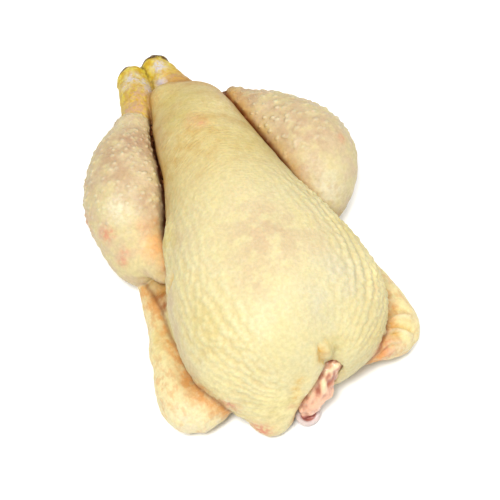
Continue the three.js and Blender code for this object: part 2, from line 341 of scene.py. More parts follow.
STAINS_AND_PAINTED_LIGHT = (
    # beige: the breast's own pinkish beige, also painted shade that tones down the breast's top where the
    # lamps fall strongest and darkens its left side, which turns away from them.
    Patch("beige", "e5cb9e", (
        (-5, -58, 97, 30, 0.95), (-22, -82, 95, 15, 0.8), (-45, -30, 80, 14, 0.6), (20, -70, 95, 18, 0.6),
        (-68, -57, 59, 9, 0.9), (-70, -70, 52, 9, 1.0), (-71, -84, 48, 9, 1.0), (-70, -98, 45, 8, 0.8)), 9.0),
    # straw: the skin's own straw yellow, also painted light: with a brighter light setting it lifts the
    # breast's right edge, the wings, the low breast and parts of the belly where they face away from the
    # lamps.
    Patch("straw", "fff0b0", (
        (-28, -138, 35, 22, 0.95), (-52, -112, 50, 16, 0.6), (56, -93, 65, 15, 0.8), (70, -112, 25, 12, 0.7),
        (-78, -60, 20, 14, 0.6), (20, -118, 60, 14, 0.4), (-66, -12, 40, 10, 0.3), (14, 62, 76, 14, 0.4),
        (20, 30, 84, 12, 0.4)), 7.0, 1.42),
    # mauve: the legs' own mauve, laid on their upper halves and there also painted shade, darkening the sides
    # that face away from the lamps.
    Patch("mauve", "d2ae88", (
        (-43, 64, 62, 17, 1.0), (-60, 58, 60, 16, 0.9), (-61, 42, 66, 15, 0.75), (-75, 46, 52, 12, 0.6),
        (38, 72, 57, 16, 0.9), (56, 46, 66, 16, 0.6), (50, 24, 68, 14, 0.7), (48, 2, 60, 11, 0.6),
        (68, 20, 68, 14, 0.55), (-52, 20, 62, 11, 0.8), (-64, 22, 66, 10, 0.4), (60, 30, 69, 15, 0.6),
        (62, 14, 70, 12, 0.7)), 7.0),
    Patch("yellow", "e3cd78", (
        (-14, 63, 75, 10, 0.8), (-4, 84, 70, 15, 0.8), (-54, -22, 66, 12, 0.65), (52, -60, 70, 14, 0.5),
        (8, -126, 62, 7, 0.6), (88, 10, 45, 9, 0.5), (-30, -134, 35, 12, 0.45), (-62, -90, 75, 18, 0.35),
        (-62, 62, 40, 12, 0.3), (-75, -60, 26, 12, 0.5), (20, 20, 84, 18, 0.4)), 6.0),
    # cream: the skin's own pale spots on the wings, and painted light: a painted highlight on the left leg's
    # bulge and a lift on the right leg's low side.
    Patch("cream", "fdf2cb", (
        (-72, 20, 61, 8, 0.9), (60, -10, 50, 13, 0.9), (-83, -115, 17, 12, 0.9), (80, -108, 14, 8, 0.7),
        (54, -117.5, 31.6, 3, 1.0), (-68, -121, 14, 10, 0.9), (-45, 84, 52, 6, 0.5)), 4.0),
    # orange: the skin's own orange tints on the wings and breast, and painted warm shade beside the crack at
    # the left knee and in the knee's hollow.
    Patch("orange", "eaa760", (
        (-56, -8, 50, 9, 0.85), (-52, 4, 56, 5, 0.6), (-56, -24, 40, 6, 0.6), (-70.4, -107, 32, 8, 0.85),
        (-73, -93, 29, 6, 0.7), (-67, -30, 26, 7, 0.8), (60, -110, 31, 6, 0.9), (66, -99, 27, 4, 0.8),
        (70, -107, 24, 6, 0.5), (-64, -117, 28, 6, 0.7), (-3, 46, 85, 7, 0.25), (0, -128, 65, 4, 0.35),
        (-57, -24, 45, 5, 0.6), (50, -120, 33, 4, 0.8), (55, -112, 34, 4, 0.8)), 3.0),
    # peach: painted light, a brighter peach that lifts the left leg's lower rim out of the trunk's shadow.
    Patch("peach", "ffc680", (
        (-57, -7, 49, 10, 0.75), (-60, -2, 45, 8, 0.6), (-57, -22, 46, 7, 0.5)), 12.0, 1.35),
    # milky: a painted highlight, the cool pale sheen on the right of the breast.
    Patch("milky", "e8debb", ((28, -95, 88, 18, 0.65), (10, -108, 84, 14, 0.6)), 12.0),
    Patch("butter", "f7e29a", (
        (68, -85, 52, 22, 0.9), (62, -112, 45, 16, 0.8), (62, -55, 58, 18, 0.8),
        (44, -122, 50, 16, 0.7)), 10.0),
    Patch("amber", "f2bd52", (
        (-1, -128.5, 67.5, 2.6, 0.9), (-1.5, -131, 62.5, 2.6, 0.9), (1, -131, 58, 2.4, 0.8),
        (5, -125, 70, 1.8, 0.5), (-17, -137, 55, 3.5, 0.6), (-20, -139, 49, 3.5, 0.7),
        (-21, -140, 41, 3.5, 0.7), (-19, -141, 33, 3.5, 0.6)), 2.5),
    Patch("pink", "f4a582", (
        (-89, 33.6, 37, 7, 0.6), (-81, 12.3, 50, 3.6, 0.9), (-83, 15, 47, 5, 1.0), (-79.6, -3, 38, 3.6, 0.8),
        (-76, 0, 42, 4, 0.8), (-62, 6.6, 55, 4, 0.45), (81.3, 11.6, 64, 3.6, 0.6), (-3.5, 45, 85, 3.5, 0.45),
        (-7, 53, 82, 6, 0.3), (46, -124, 27, 9, 1.0), (54, -122, 24, 5, 0.6), (-57, -123, 33, 6, 0.8),
        (-44, -138, 14, 8, 1.0), (50, -104, 69, 1.8, 0.6), (-24, -139, 34, 3, 0.4)), 2.5),
    # hollow: painted shade, warm brown in the hollows between the left knee, wing and breast and in the right
    # wing's folds.
    Patch("hollow", "b86c30", (
        (-64.5, -30, 28, 6, 0.9), (-65.5, -39, 28, 4.5, 0.9), (-63.5, -26, 32, 5, 0.6),
        (-67, -100, 33, 3.5, 0.4), (55.5, -109.5, 33, 2.2, 0.6), (51, -119.5, 32, 2.2, 0.6)), 5.0),
)
HOCK_STAINS = (
    Patch("tan", "dfb386", (
        (-24, 109, 50, 8, 1.0), (-18, 102, 50, 6, 0.6), (-31, 97, 50, 11, 1.2), (6, 115, 48, 8, 1.0),
        (10, 105, 50, 8, 0.8)), 2.5),
    Patch("lilac", "eee6ea", (
        (-21, 127, 49, 6, 0.9), (-15, 121, 47, 5, 0.9), (-15, 113, 46, 5.5, 1.0), (-27, 121, 47, 4, 0.8),
        (0, 130, 48, 5.5, 1.0), (-5, 116, 46, 6, 0.9)), 2.6),
)


@dataclass(frozen=True)
class Hock:
    """The bare joint end of a leg, cut across and grooved between its two knuckles."""

    shaft: Limb
    cut: float = 9.8
    soft: float = 2.8
    groove_depth: float = 2.2
    groove_width: float = 3.5
    singed: Fade = Fade(2.6, 0.8)

    def frame(self) -> tuple[np.ndarray, np.ndarray, np.ndarray]:
        """Give the end's middle, the direction along the shaft and the one across it.

        Returns:
            The vectors.
        """
        end = self.shaft.knots[2].at
        along = end - self.shaft.knots[1].at
        along = along / np.linalg.norm(along)
        across = np.cross([0.0, 0.0, 1.0], along)
        return end, along, across / np.linalg.norm(across)

    def brink(self, p: Points) -> np.ndarray:
        """Say how near each place is to the brown edge of the cut."""
        end, along, _ = self.frame()
        return self.singed.at(self.cut - (p - end) @ along)

    def distance(self, p: Points) -> np.ndarray:
        """Measure to the hock's skin.

        Args:
            p: Places, one row each.

        Returns:
            Distances, negative inside.
        """
        end, along, across = self.frame()
        off = p - end
        groove = self.groove_depth * np.exp(-((off @ across / self.groove_width) ** 2))
        return -join(-self.shaft.distance(p), self.cut - groove - off @ along, self.soft)


@dataclass(frozen=True)
class Section:
    """A cross-section of the trunk: where, its middle, half width, crown and widest height."""

    y: float
    x: float
    w: float
    top: float
    waist: float


@dataclass(frozen=True)
class Trunk:
    """Breast and belly, from the neck end to the vent."""

    sections: tuple[Section, ...] = (
        Section(-135, -5.5, 71, 77.5, 38.5),
        Section(-107.5, -5.5, 71, 93, 41.5),
        Section(-80, -5.5, 68.5, 99.5, 43),
        Section(-47.5, -5.5, 61, 101, 45),
        Section(-11, -4, 48.5, 98.5, 45),
        Section(21.5, -1.75, 40.75, 91, 44),
        Section(58, 0, 35.5, 81, 42.5),
        Section(104, 6.5, 33, 67, 38.5),
    )
    front: float = -136.0
    rear: float = 111.5
    end_power: float = 5.5
    roundness: float = 2.2
    keel_rise: float = 2.0
    keel_width: float = 13.0
    sink: float = 3.0

    def profile(self, y: np.ndarray, key: str) -> np.ndarray:
        """Read one size of the sections along the trunk.

        Args:
            y: Places along it.
            key: The size's name.

        Returns:
            The size at each place.
        """
        rows = self.sections
        table = np.linspace(self.front, self.rear, 400)
        heights = []
        for place in table:
            i = 0
            while i < len(rows) - 2 and place > rows[i + 1].y:
                i += 1
            t = i + min(max((place - rows[i].y) / (rows[i + 1].y - rows[i].y), 0.0), 1.0)
            heights.append(through([getattr(row, key) for row in rows], t))
        return np.interp(y, table, heights)

    def distance(self, p: Points) -> np.ndarray:
        """Measure to the trunk's skin.

        Args:
            p: Places, one row each.

        Returns:
            Distances, negative inside.
        """
        y = np.clip(p[:, 1], self.front, self.rear)
        w = self.profile(y, "w")
        waist = self.profile(y, "waist")
        x = p[:, 0] - self.profile(y, "x")
        top = self.profile(y, "top") + self.keel_rise * (np.exp(-((x / self.keel_width) ** 2)) - 1)
        h = np.where(p[:, 2] > waist, top - waist, waist + self.sink)
        middle, half = (self.front + self.rear) / 2, (self.rear - self.front) / 2
        along = np.abs((p[:, 1] - middle) / half) ** self.end_power
        n = self.roundness
        g = (np.abs(x / w) ** n + np.abs((p[:, 2] - waist) / h) ** n + along) ** (1 / n)
        return (g - 1) * np.minimum(w, h)


@dataclass(frozen=True)
class Net:
    """A fine closed net of faces on the zero level of a field."""

    low: Triple
    high: Triple
    cell: float
    stride: int = 4
    reach: float = 6.5
    chunk: int = 60000
    step: float = 0.25

    def _measure(self, field: Field, p: Points) -> np.ndarray:
        """Measure many places in batches that fit the processor's memory."""
        return np.concatenate([field(p[i:i + self.chunk]) for i in range(0, len(p), self.chunk)])

    def _grid(self, field: Field) -> np.ndarray:
        """Measure the field on the grid, exactly wherever the surface can be.

        Args:
            field: The field.

        Returns:
            Values at the grid's corners.
        """
        low = np.array(self.low)
        blocks = np.ceil((np.array(self.high) - low) / (self.cell * self.stride)).astype(int)
        wide = [np.arange(n + 1) for n in blocks]
        coarse = np.stack(np.meshgrid(*wide, indexing="ij"), -1).reshape(-1, 3)
        rough = self._measure(field, low + coarse * self.cell * self.stride).reshape(blocks + 1)
        near = np.zeros(blocks, bool)
        for corner in range(8):
            i, j, k = corner & 1, corner >> 1 & 1, corner >> 2
            part = rough[i:i + blocks[0], j:j + blocks[1], k:k + blocks[2]]
            near |= np.abs(part) < self.reach
        shape = blocks * self.stride + 1
        index = [np.minimum((np.arange(n) + self.stride // 2) // self.stride, b)
                 for n, b in zip(shape, blocks)]
        values = rough[np.ix_(*index)].copy()
        todo = np.zeros(shape, bool)
        for i, j, k in np.argwhere(near):
            s = self.stride
            todo[i * s:i * s + s + 1, j * s:j * s + s + 1, k * s:k * s + s + 1] = True
        spots = np.argwhere(todo)
        values[todo] = self._measure(field, low + spots * self.cell)
        return values

    def surface(self, field: Field) -> tuple[Points, np.ndarray, Points]:
        """Make the net.

        Args:
            field: Distances to the form, negative inside.

        Returns:
            Vertices, four-cornered faces and the outward direction at each vertex.
        """
        values = self._grid(field)
        cells = np.array(values.shape) - 1
        total = np.zeros((*cells, 3))
        count = np.zeros(cells)
        crossings = []
        for axis in range(3):
            first = np.take(values, range(cells[axis]), axis)
            second = np.take(values, range(1, cells[axis] + 1), axis)
            edges = np.argwhere((first < 0) != (second < 0))
            a, b = first[tuple(edges.T)], second[tuple(edges.T)]
            where = edges.astype(float)
            where[:, axis] += a / (a - b)
            u, v = (axis + 1) % 3, (axis + 2) % 3
            ring = []
            for du, dv in ((1, 1), (0, 1), (0, 0), (1, 0)):
                owner = edges.copy()
                owner[:, u] -= du
                owner[:, v] -= dv
                np.add.at(total, tuple(owner.T), where)
                np.add.at(count, tuple(owner.T), 1)
                ring.append(owner)
            crossings.append((np.stack(ring, 1), a < 0))
        used = count > 0
        number = np.full(cells, -1)
        number[used] = np.arange(used.sum())
        points = np.array(self.low) + total[used] / count[used][:, None] * self.cell
        faces = []
        for ring, filled in crossings:
            face = number[ring[..., 0], ring[..., 1], ring[..., 2]]
            faces.append(np.where(filled[:, None], face, face[:, ::-1]))
        points, normals = self._settle(field, points)
        return points, np.concatenate(faces), normals

    def _settle(self, field: Field, points: Points) -> tuple[Points, Points]:
        """Put the vertices on the surface itself.

        Args:
            field: The field.
            points: Vertices near the surface.

        Returns:
            The moved vertices and the outward direction at each.
        """
        least_slope = 0.5
        here = self._measure(field, points)
        rises = [self._measure(field, points + self.step * axis) - here for axis in np.eye(3)]
        slope = np.stack(rises, 1) / self.step
        steep = np.maximum(np.einsum("ij,ij->i", slope, slope), least_slope ** 2)
        move = np.clip(-here / steep, -self.cell, self.cell)
        normals = slope / np.sqrt(steep)[:, None]
        return points + move[:, None] * slope, normals


def to_object(name: str, points: Points, faces: np.ndarray,
              masks: dict[str, np.ndarray]) -> bpy.types.Object:
    """Make a Blender object from a net.

    Args:
        name: The object's name.
        points: Vertices in metres.
        faces: Four-cornered faces.
        masks: Values or rows to keep at each vertex, by name.

    Returns:
        The object, in the scene.
    """
    mesh = bpy.data.meshes.new(name)
    mesh.vertices.add(len(points))
    mesh.vertices.foreach_set("co", points.astype(np.float32).ravel())
    mesh.loops.add(faces.size)
    mesh.loops.foreach_set("vertex_index", faces.astype(np.int32).ravel())
    mesh.polygons.add(len(faces))
    mesh.polygons.foreach_set("loop_start", np.arange(0, faces.size, 4, dtype=np.int32))
    mesh.polygons.foreach_set("loop_total", np.full(len(faces), 4, dtype=np.int32))
    mesh.update(calc_edges=True)
    mesh.validate()
    mesh.shade_smooth()
    for key, values in masks.items():
        wide = values.ndim == 2
        kept = mesh.attributes.new(key, "FLOAT_VECTOR" if wide else "FLOAT", "POINT")
        kept.data.foreach_set("vector" if wide else "value", values.astype(np.float32).ravel())
    thing = bpy.data.objects.new(name, mesh)
    bpy.context.scene.collection.objects.link(thing)
    return thing


class Val:
    """An output of a node, which adds Math nodes when it is used in a sum."""

    def __init__(self, graph: "Graph", socket: bpy.types.NodeSocket) -> None:
        """Wrap a socket of the graph."""
        self.graph = graph
        self.socket = socket

    def __add__(self, other: "Val | float") -> "Val":
        """Add."""
        return self.graph.maths("ADD", self, other)

    def __radd__(self, other: float) -> "Val":
        """Add to a number."""
        return self.graph.maths("ADD", other, self)

    def __sub__(self, other: "Val | float") -> "Val":
        """Take away."""
        return self.graph.maths("SUBTRACT", self, other)

    def __rsub__(self, other: float) -> "Val":
        """Take away from a number."""
        return self.graph.maths("SUBTRACT", other, self)

    def __mul__(self, other: "Val | float") -> "Val":
        """Multiply."""
        return self.graph.maths("MULTIPLY", self, other)

    def __rmul__(self, other: float) -> "Val":
        """Multiply a number."""
        return self.graph.maths("MULTIPLY", other, self)


class Graph:
    """The nodes of one material."""

    def __init__(self, name: str) -> None:
        """Start an empty material with its surface shader.

        Args:
            name: The material's name.
        """
        self.material = bpy.data.materials.new(name)
        self.material.use_nodes = True
        self.tree = self.material.node_tree
        self.shader = next(n for n in self.tree.nodes if n.type == "BSDF_PRINCIPLED")

    def node(self, kind: str, settings: dict[str, object] | None = None,
             inputs: dict[str | int, object] | None = None) -> bpy.types.Node:
        """Add a node.

        Args:
            kind: The node's type.
            settings: Properties to set first.
            inputs: Values or links, by socket name or number.

        Returns:
            The node.
        """
        made = self.tree.nodes.new(kind)
        for key, value in (settings or {}).items():
            setattr(made, key, value)
        for key, value in (inputs or {}).items():
            self.plug(made.inputs[key], value)
        return made

    def plug(self, socket: bpy.types.NodeSocket, value: object) -> None:
        """Set a socket, or link it to a wrapped output.

        Args:
            socket: The socket.
            value: A value or a wrapped output.
        """
        if isinstance(value, Val):
            self.tree.links.new(value.socket, socket)
        else:
            socket.default_value = value

    def maths(self, operation: str, a: "Val | float", b: "Val | float") -> Val:
        """Add a Math node on two numbers."""
        return Val(self, self.node("ShaderNodeMath", {"operation": operation}, {0: a, 1: b}).outputs[0])

    def mask(self, name: str) -> Val:
        """Read a value kept at each vertex."""
        made = self.node("ShaderNodeAttribute", {"attribute_type": "GEOMETRY", "attribute_name": name})
        return Val(self, made.outputs["Fac"])

    def rows(self, name: str) -> Val:
        """Read a row of three values kept at each vertex."""
        made = self.node("ShaderNodeAttribute", {"attribute_type": "GEOMETRY", "attribute_name": name})
        return Val(self, made.outputs["Vector"])

    def place(self) -> Val:
        """Read the place on the object, in millimetres.

        Returns:
            The place.
        """
        here = self.node("ShaderNodeTexCoord").outputs["Object"]
        made = self.node("ShaderNodeVectorMath", {"operation": "SCALE"}, {0: Val(self, here), 3: 1 / MM})
        return Val(self, made.outputs[0])

    def stretched(self, place: Val, by: Triple) -> Val:
        """Multiply a place by three factors."""
        made = self.node("ShaderNodeVectorMath", {"operation": "MULTIPLY"}, {0: place, 1: by})
        return Val(self, made.outputs[0])

    def noise(self, place: Val, size: float, detail: float = 2.0, rough: float = 0.5) -> Val:
        """Add cloudy noise that changes over a size in millimetres.

        Args:
            place: Where to read it.
            size: The size, in millimetres.
            detail: How many finer layers it has.
            rough: How strong the finer layers are.

        Returns:
            Values round 0.5.
        """
        made = self.node("ShaderNodeTexNoise", {"noise_dimensions": "3D"},
                         {"Vector": place, "Scale": 1 / size, "Detail": detail, "Roughness": rough})
        return Val(self, made.outputs["Fac"])

    def ramp(self, value: Val, low: float, high: float, start: float = 0.0, end: float = 1.0) -> Val:
        """Ease a value between two levels.

        Args:
            value: The value.
            low: The level where the rise starts.
            high: The level where it ends; it may be below low.
            start: What it gives at low.
            end: What it gives at high.

        Returns:
            The eased value.
        """
        made = self.node("ShaderNodeMapRange", {"interpolation_type": "SMOOTHSTEP"},
                         {"Value": value, "From Min": low, "From Max": high, "To Min": start, "To Max": end})
        return Val(self, made.outputs[0])

    def blend(self, amount: "Val | float", a: object, b: object, way: str = "MIX") -> Val:
        """Blend two colours.

        Args:
            amount: How much of the second.
            a: The first colour.
            b: The second colour.
            way: How the two are blended.

        Returns:
            The colour.
        """
        made = self.node("ShaderNodeMix", {"data_type": "RGBA", "blend_type": way, "clamp_factor": True},
                         {0: amount, 6: a, 7: b})
        return Val(self, made.outputs[2])

    def grey(self, value: Val) -> Val:
        """Spread one value over red, green and blue."""
        return Val(self, self.node("ShaderNodeCombineColor", {}, {0: value, 1: value, 2: value}).outputs[0])

    def bump(self, height: Val, strength: float) -> Val:
        """Turn a height in millimetres into a surface direction."""
        made = self.node("ShaderNodeBump", {}, {"Strength": strength, "Distance": MM, "Height": height})
        return Val(self, made.outputs["Normal"])

    def finish(self, settings: dict[str, object]) -> bpy.types.Material:
        """Set the shader's sockets.

        Args:
            settings: Values or links, by socket name.

        Returns:
            The material.
        """
        for key, value in settings.items():
            self.plug(self.shader.inputs[key], value)
        return self.material


@dataclass(frozen=True)
class SkinFinish:
    """Moist corn-fed skin: cream on the breast, ochre on the belly, mauve on the legs, yellow hocks."""

    breast: str = "f3e6ac"
    furrow: str = "f0d088"
    crown: str = "f4e9b4"
    belly: str = "edd48c"
    belly_deep: str = "dcb464"
    leg: str = "ead2a6"
    leg_cream: str = "f0dfa6"
    wing: str = "fcebb0"
    wing_blush: str = "f8c588"
    hock: str = "f8dc48"
    hock_rim: str = "e4b80a"
    papule: str = "f7eec6"
    # crevice: painted shade, the dark line in the crack between legs and trunk; shade: painted warm shade on
    # the skin beside it.
    crevice_shade: str = "84400e"
    shade: str = "dba755"
    # under: the wing's own orange, deepened as painted shade where the wing tucks beneath the body.
    under: str = "f6ae5a"
    rim: str = "f0bc66"
    # line: painted shade, the dark split where the two hocks touch.
    line: str = "543806"
    brink: str = "55300f"
    groove: str = "ecbc5e"
    ridge: str = "fbeec4"
    roughness: float = 0.54
    wrinkle: float = 0.6
    pores: float = 0.12

    cushion_rise: float = 0.5
    papule_rise: float = 0.6
    fine_rise: float = 0.4
    speck_rise: float = 0.06
    hock_rise: float = 0.8
    wing_light: float = 1.52
    broad: float = 30.0
    middle: float = 9.0
    fine: float = 2.2
    bristle: float = 2.6

    def material(self) -> bpy.types.Material:
        """Build the skin's nodes.

        Returns:
            The material.
        """
        g = Graph("skin")
        here = g.place()
        broad, middle = g.noise(here, self.broad, 3.0), g.noise(here, self.middle, 3.0)
        fine = g.noise(here, self.fine, 3.0, 0.6)
        streaks = g.noise(g.stretched(here, (1.0, 0.4, 1.0)), self.bristle, 3.0)
        papule = g.ramp(g.mask("papule"), 1.3, 0.1)

        tone = self.trunk_tone(g, broad, middle)
        tone = self.limb_tone(g, tone, middle, streaks)
        for patch in STAINS_AND_PAINTED_LIGHT:
            tone = self.patched(g, here, tone, patch)
        tone = g.blend(g.mask("hock"), tone, self.hock_tone(g, here))
        dots = papule * (g.mask("bumpy") * 0.42 + g.mask("belly") * 0.06 + 0.06)
        tone = g.blend(dots, tone, colour(self.papule))
        tone = self.edge_tone(g, tone, middle, streaks, fine)
        tone = g.blend(1.0, tone, g.grey(g.ramp(fine, 0.3, 0.7, 0.92, 1.05)), "MULTIPLY")
        gloss = g.ramp(fine + papule * 0.15, 0.3, 0.9, self.roughness + 0.06, self.roughness - 0.1)
        return g.finish({
            "Base Color": tone,
            "Roughness": gloss,
            "Normal": g.bump(self.height(g, here, papule, fine), 0.9),
            "Subsurface Weight": 0.25,
            "Subsurface Radius": (1.0, 0.5, 0.2),
            "Subsurface Scale": 2 * MM,
            "Specular IOR Level": 0.35,
            "Coat Weight": 0.04,
            "Coat Roughness": 0.25,
            "IOR": 1.4,
        })

    def trunk_tone(self, g: Graph, broad: Val, middle: Val) -> Val:
        """Mix the breast's cream with its furrows, and the belly's ochre.

        Args:
            g: The nodes.
            broad: Wide noise.
            middle: Middling noise.

        Returns:
            The colour.
        """
        tract, cushion = g.mask("tract"), g.mask("cushion")
        tone = g.blend(g.ramp(broad + middle, 0.8, 1.2), colour(self.breast), colour(self.crown))
        tone = g.blend(tract * g.ramp(cushion, 0.55, 0.1) * 0.4, tone, colour(self.furrow))
        tone = g.blend(tract * g.ramp(cushion, 0.35, 0.9) * 0.15, tone, colour(self.crown))
        ochre = g.blend(g.ramp(middle, 0.35, 0.75) * 0.7, colour(self.belly), colour(self.belly_deep))
        return g.blend(g.mask("belly") * g.ramp(broad + middle, 0.75, 1.2, 0.8, 1.0), tone, ochre)

    def limb_tone(self, g: Graph, tone: Val, middle: Val, streaks: Val) -> Val:
        """Lay the legs' and wings' own colours over the trunk's.

        Args:
            g: The nodes.
            tone: The colour below.
            middle: Middling noise.
            streaks: Fine noise drawn out along the body.

        Returns:
            The colour.
        """
        limb = g.blend(g.ramp(middle, 0.4, 0.62), colour(self.leg), colour(self.leg_cream))
        tone = g.blend(g.mask("leg"), tone, limb)
        blush = g.ramp(middle + streaks, 0.95, 1.2) * 0.7
        return g.blend(g.mask("wing"), tone,
                       g.blend(blush, colour(self.wing, self.wing_light), colour(self.wing_blush)))

    def hock_tone(self, g: Graph, here: Val) -> Val:
        """Mix the hocks' yellows with their tan and lilac stains.

        Args:
            g: The nodes.
            here: Place on the object.

        Returns:
            The colour.
        """
        bare = g.blend(g.ramp(g.noise(here, 4.0, 3.0), 0.4, 0.6), colour(self.hock), colour(self.hock_rim))
        for patch in HOCK_STAINS:
            bare = self.patched(g, here, bare, patch)
        return bare

    def edge_tone(self, g: Graph, tone: Val, middle: Val, streaks: Val, fine: Val) -> Val:
        """Darken the skin along its edges, folds and cracks, and lighten its ridges; the crack's dark line
        and the warm band beside it, the wing's tuck and the split between the hocks are painted shade.

        Args:
            g: The nodes.
            tone: The colour below.
            middle: Middling noise.
            streaks: Fine noise drawn out along the body.
            fine: Fine noise.

        Returns:
            The colour.
        """
        for amount, code in (
                # painted warm shade beside the crack
                (g.mask("warm_shade") * g.ramp(middle, 0.3, 0.6, 0.6, 0.95), self.shade),
                # the wings' orange, deepened as painted shade near the body
                (g.mask("under") * g.ramp(middle + streaks, 0.75, 1.15, 0.3, 0.9), self.under),
                (g.mask("rimmed") * g.ramp(middle, 0.35, 0.6, 0.25, 0.8), self.rim),
                (g.mask("groove") * 0.5, self.groove),
                (g.mask("ridge") * 0.55, self.ridge),
                # painted shade in the split between the hocks
                (g.mask("split_shade") * 0.85, self.line),
                (g.mask("hock") * g.mask("brink") * g.ramp(fine, 0.35, 0.5, 0.3, 1.0), self.brink),
                # painted shade: the dark line in the crack and the wing's tuck
                (g.mask("crease_shade"), self.crevice_shade)):
            tone = g.blend(amount, tone, colour(code))
        return tone

    def height(self, g: Graph, here: Val, papule: Val, fine: Val) -> Val:
        """Add up the fine relief, in millimetres.

        Args:
            g: The nodes.
            here: Place on the object.
            papule: How near a papule is.
            fine: Fine noise.

        Returns:
            The height.
        """
        leg, hock = g.mask("leg"), g.mask("hock")
        lines = g.noise(g.stretched(g.rows("grain"), (0.12, 1.0, 1.0)), 1.5, 2.0)
        wrinkles = lines * (g.mask("belly") * (1 - leg) * self.wrinkle + self.pores)
        wrinkles = wrinkles * (1 - hock) * g.mask("calm")
        rows = g.mask("tract") * g.mask("cushion") * self.cushion_rise
        specks = fine * self.fine_rise + g.noise(here, 0.8, 2.0) * self.speck_rise
        bumps = papule * g.mask("bumpy") * self.papule_rise + rows + specks
        return wrinkles + bumps + hock * g.noise(here, self.bristle, 2.0) * self.hock_rise

    @staticmethod
    def patched(g: Graph, here: Val, tone: Val, patch: Patch) -> Val:
        """Lay a patch of colour over the skin's colour, broken up by noise.

        Args:
            g: The nodes.
            here: Place on the object.
            tone: The colour below.
            patch: The patch.

        Returns:
            The patched colour.
        """
        strength = g.mask(patch.name) * g.ramp(g.noise(here, patch.grain, 3.0), 0.34, 0.58, 0.3, 1.15)
        return g.blend(strength, tone, colour(patch.code, patch.light))


@dataclass(frozen=True)
class FleshFinish:
    """Wet raw flesh of the neck with pale fat and a white rim on the windpipe."""

    light: float = 1.2
    flesh: str = "eebc9a"
    # deep: darker red flesh, partly its own streaks and partly painted shade between the lumps.
    deep_shade: str = "ac664c"
    fat: str = "f4e8b8"
    rim: str = "f8e4dc"
    inside: str = "c9705e"
    strand_rise: float = 0.9
    grain_rise: float = 0.3

    def material(self) -> bpy.types.Material:
        """Build the flesh's nodes.

        Returns:
            The material.
        """
        g = Graph("flesh")
        here = g.place()
        strands = g.noise(g.stretched(here, (1.0, 0.8, 0.35)), 1.8, 4.0, 0.6)
        lobe = g.mask("lobe")
        deep_shade, flesh, fat = (colour(code, self.light) for code in (self.deep_shade, self.flesh, self.fat))
        # darker red where the lumps sink: partly the flesh's own streaks, partly painted shade between the
        # lumps
        tone = g.blend(g.ramp(lobe * 0.8 + strands, -0.8, 1.0), deep_shade, flesh)
        tone = g.blend(g.mask("fat") * g.ramp(lobe, -0.9, 0.9, 0.0, 0.95), tone, fat)
        tone = g.blend(g.mask("rim"), tone, colour(self.rim))
        tone = g.blend(g.mask("inside"), tone, colour(self.inside))
        height = strands * self.strand_rise + g.noise(here, 1.1, 2.0) * self.grain_rise
        return g.finish({
            "Base Color": tone,
            "Roughness": g.ramp(strands, 0.3, 0.7, 0.42, 0.28),
            "Normal": g.bump(height, 0.9),
            "Subsurface Weight": 0.15,
            "Subsurface Radius": (1.0, 0.35, 0.2),
            "Subsurface Scale": 3 * MM,
            "Coat Weight": 0.25,
            "Coat Roughness": 0.15,
            "IOR": 1.4,
        })


class Side(Enum):
    """The two sides of the picture."""

    LEFT = "left"
    RIGHT = "right"


@dataclass(frozen=True)
class Leg:
    """A folded leg: the skin-covered bulb from knee to ankle, and the bare hock."""

    side: Side
    bulb: Limb
    hock: Hock
    girth: float = 27.0
    apart: float = 500.0
    soft: float = 2.0

    def distance(self, p: Points) -> np.ndarray:
        """Measure to the leg's skin."""
        return join(self.bulb.distance(p), self.hock.distance(p), self.soft)

    def grain(self, p: Points) -> np.ndarray:
        """Lay the skin's pattern round and along the leg.

        Args:
            p: Places, one row each.

        Returns:
            Rows of round, along and zero.
        """
        knee, ankle = self.bulb.knots[1].at, self.bulb.knots[-1].at
        run = ankle - knee
        run = run / np.linalg.norm(run)
        aside = np.cross(run, [0.0, 0.0, 1.0])
        aside = aside / np.linalg.norm(aside)
        above = np.cross(aside, run)
        off = p - knee
        angle = np.arctan2(off @ aside, off @ above)
        away = 0.0 if self.side is Side.LEFT else self.apart
        return np.stack([angle * self.girth + away, off @ run, np.zeros(len(p))], 1)


LEFT_LEG = Leg(
    Side.LEFT,
    Limb((Knot(-42, 34.5, 27.5, 26), Knot(-64, 2, 25, 18.5), Knot(-60, 32, 37.5, 30),
          Knot(-50.5, 62, 41.5, 24), Knot(-37.5, 84, 44, 14))),
    Hock(Limb((Knot(-34.5, 84, 43, 10), Knot(-24.5, 108, 40.5, 12), Knot(-18.5, 133, 35, 11.5)))),
)
RIGHT_LEG = Leg(
    Side.RIGHT,
    Limb((Knot(35, 25, 26, 26), Knot(53.5, -6, 27.5, 18.5), Knot(63.5, 19.5, 39.5, 31.5),
          Knot(53.5, 50, 42.5, 25), Knot(35, 76.5, 42.5, 15.5))),
    Hock(Limb((Knot(29, 78.5, 40.5, 13), Knot(8.5, 103.5, 38.5, 12.5), Knot(-0.5, 136, 35, 11.5)))),
)
LEFT_WING = Limb((Knot(-47.5, -103.5, 24, 15.5), Knot(-76, -105.5, 14.5, 17.5), Knot(-73.5, -74, 15, 15),
                  Knot(-67.5, -43, 15.5, 12.8), Knot(-65.5, -13.5, 15, 8.5)), 1.25)
RIGHT_WING = Limb((Knot(39, -111, 24, 15.5), Knot(64.5, -109, 15.5, 15), Knot(66.5, -85.5, 16.5, 13),
                   Knot(63, -59.5, 18.5, 10), Knot(55.5, -34, 18.5, 8.5)), 1.25)
LEFT_FLANK = Limb((Knot(-47.5, 30.5, 18.5, 16.5), Knot(-56, -11.5, 15.5, 14), Knot(-58.5, -57.5, 15.5, 14)))
RIGHT_FLANK = Limb((Knot(42.5, 21.5, 18.5, 16.5), Knot(50, -21, 16.5, 14.5), Knot(52, -63, 16.5, 14)))
KNEE_WEB = Limb((Knot(-60, -2, 36, 13), Knot(-55, -20, 37, 11), Knot(-52.5, -31, 38, 7)))
BREAST_RIM = Limb((Knot(-39, 0, 62, 5), Knot(-45.5, -14, 63, 8), Knot(-50, -27, 61, 8.5),
                   Knot(-51, -36, 58, 7)))

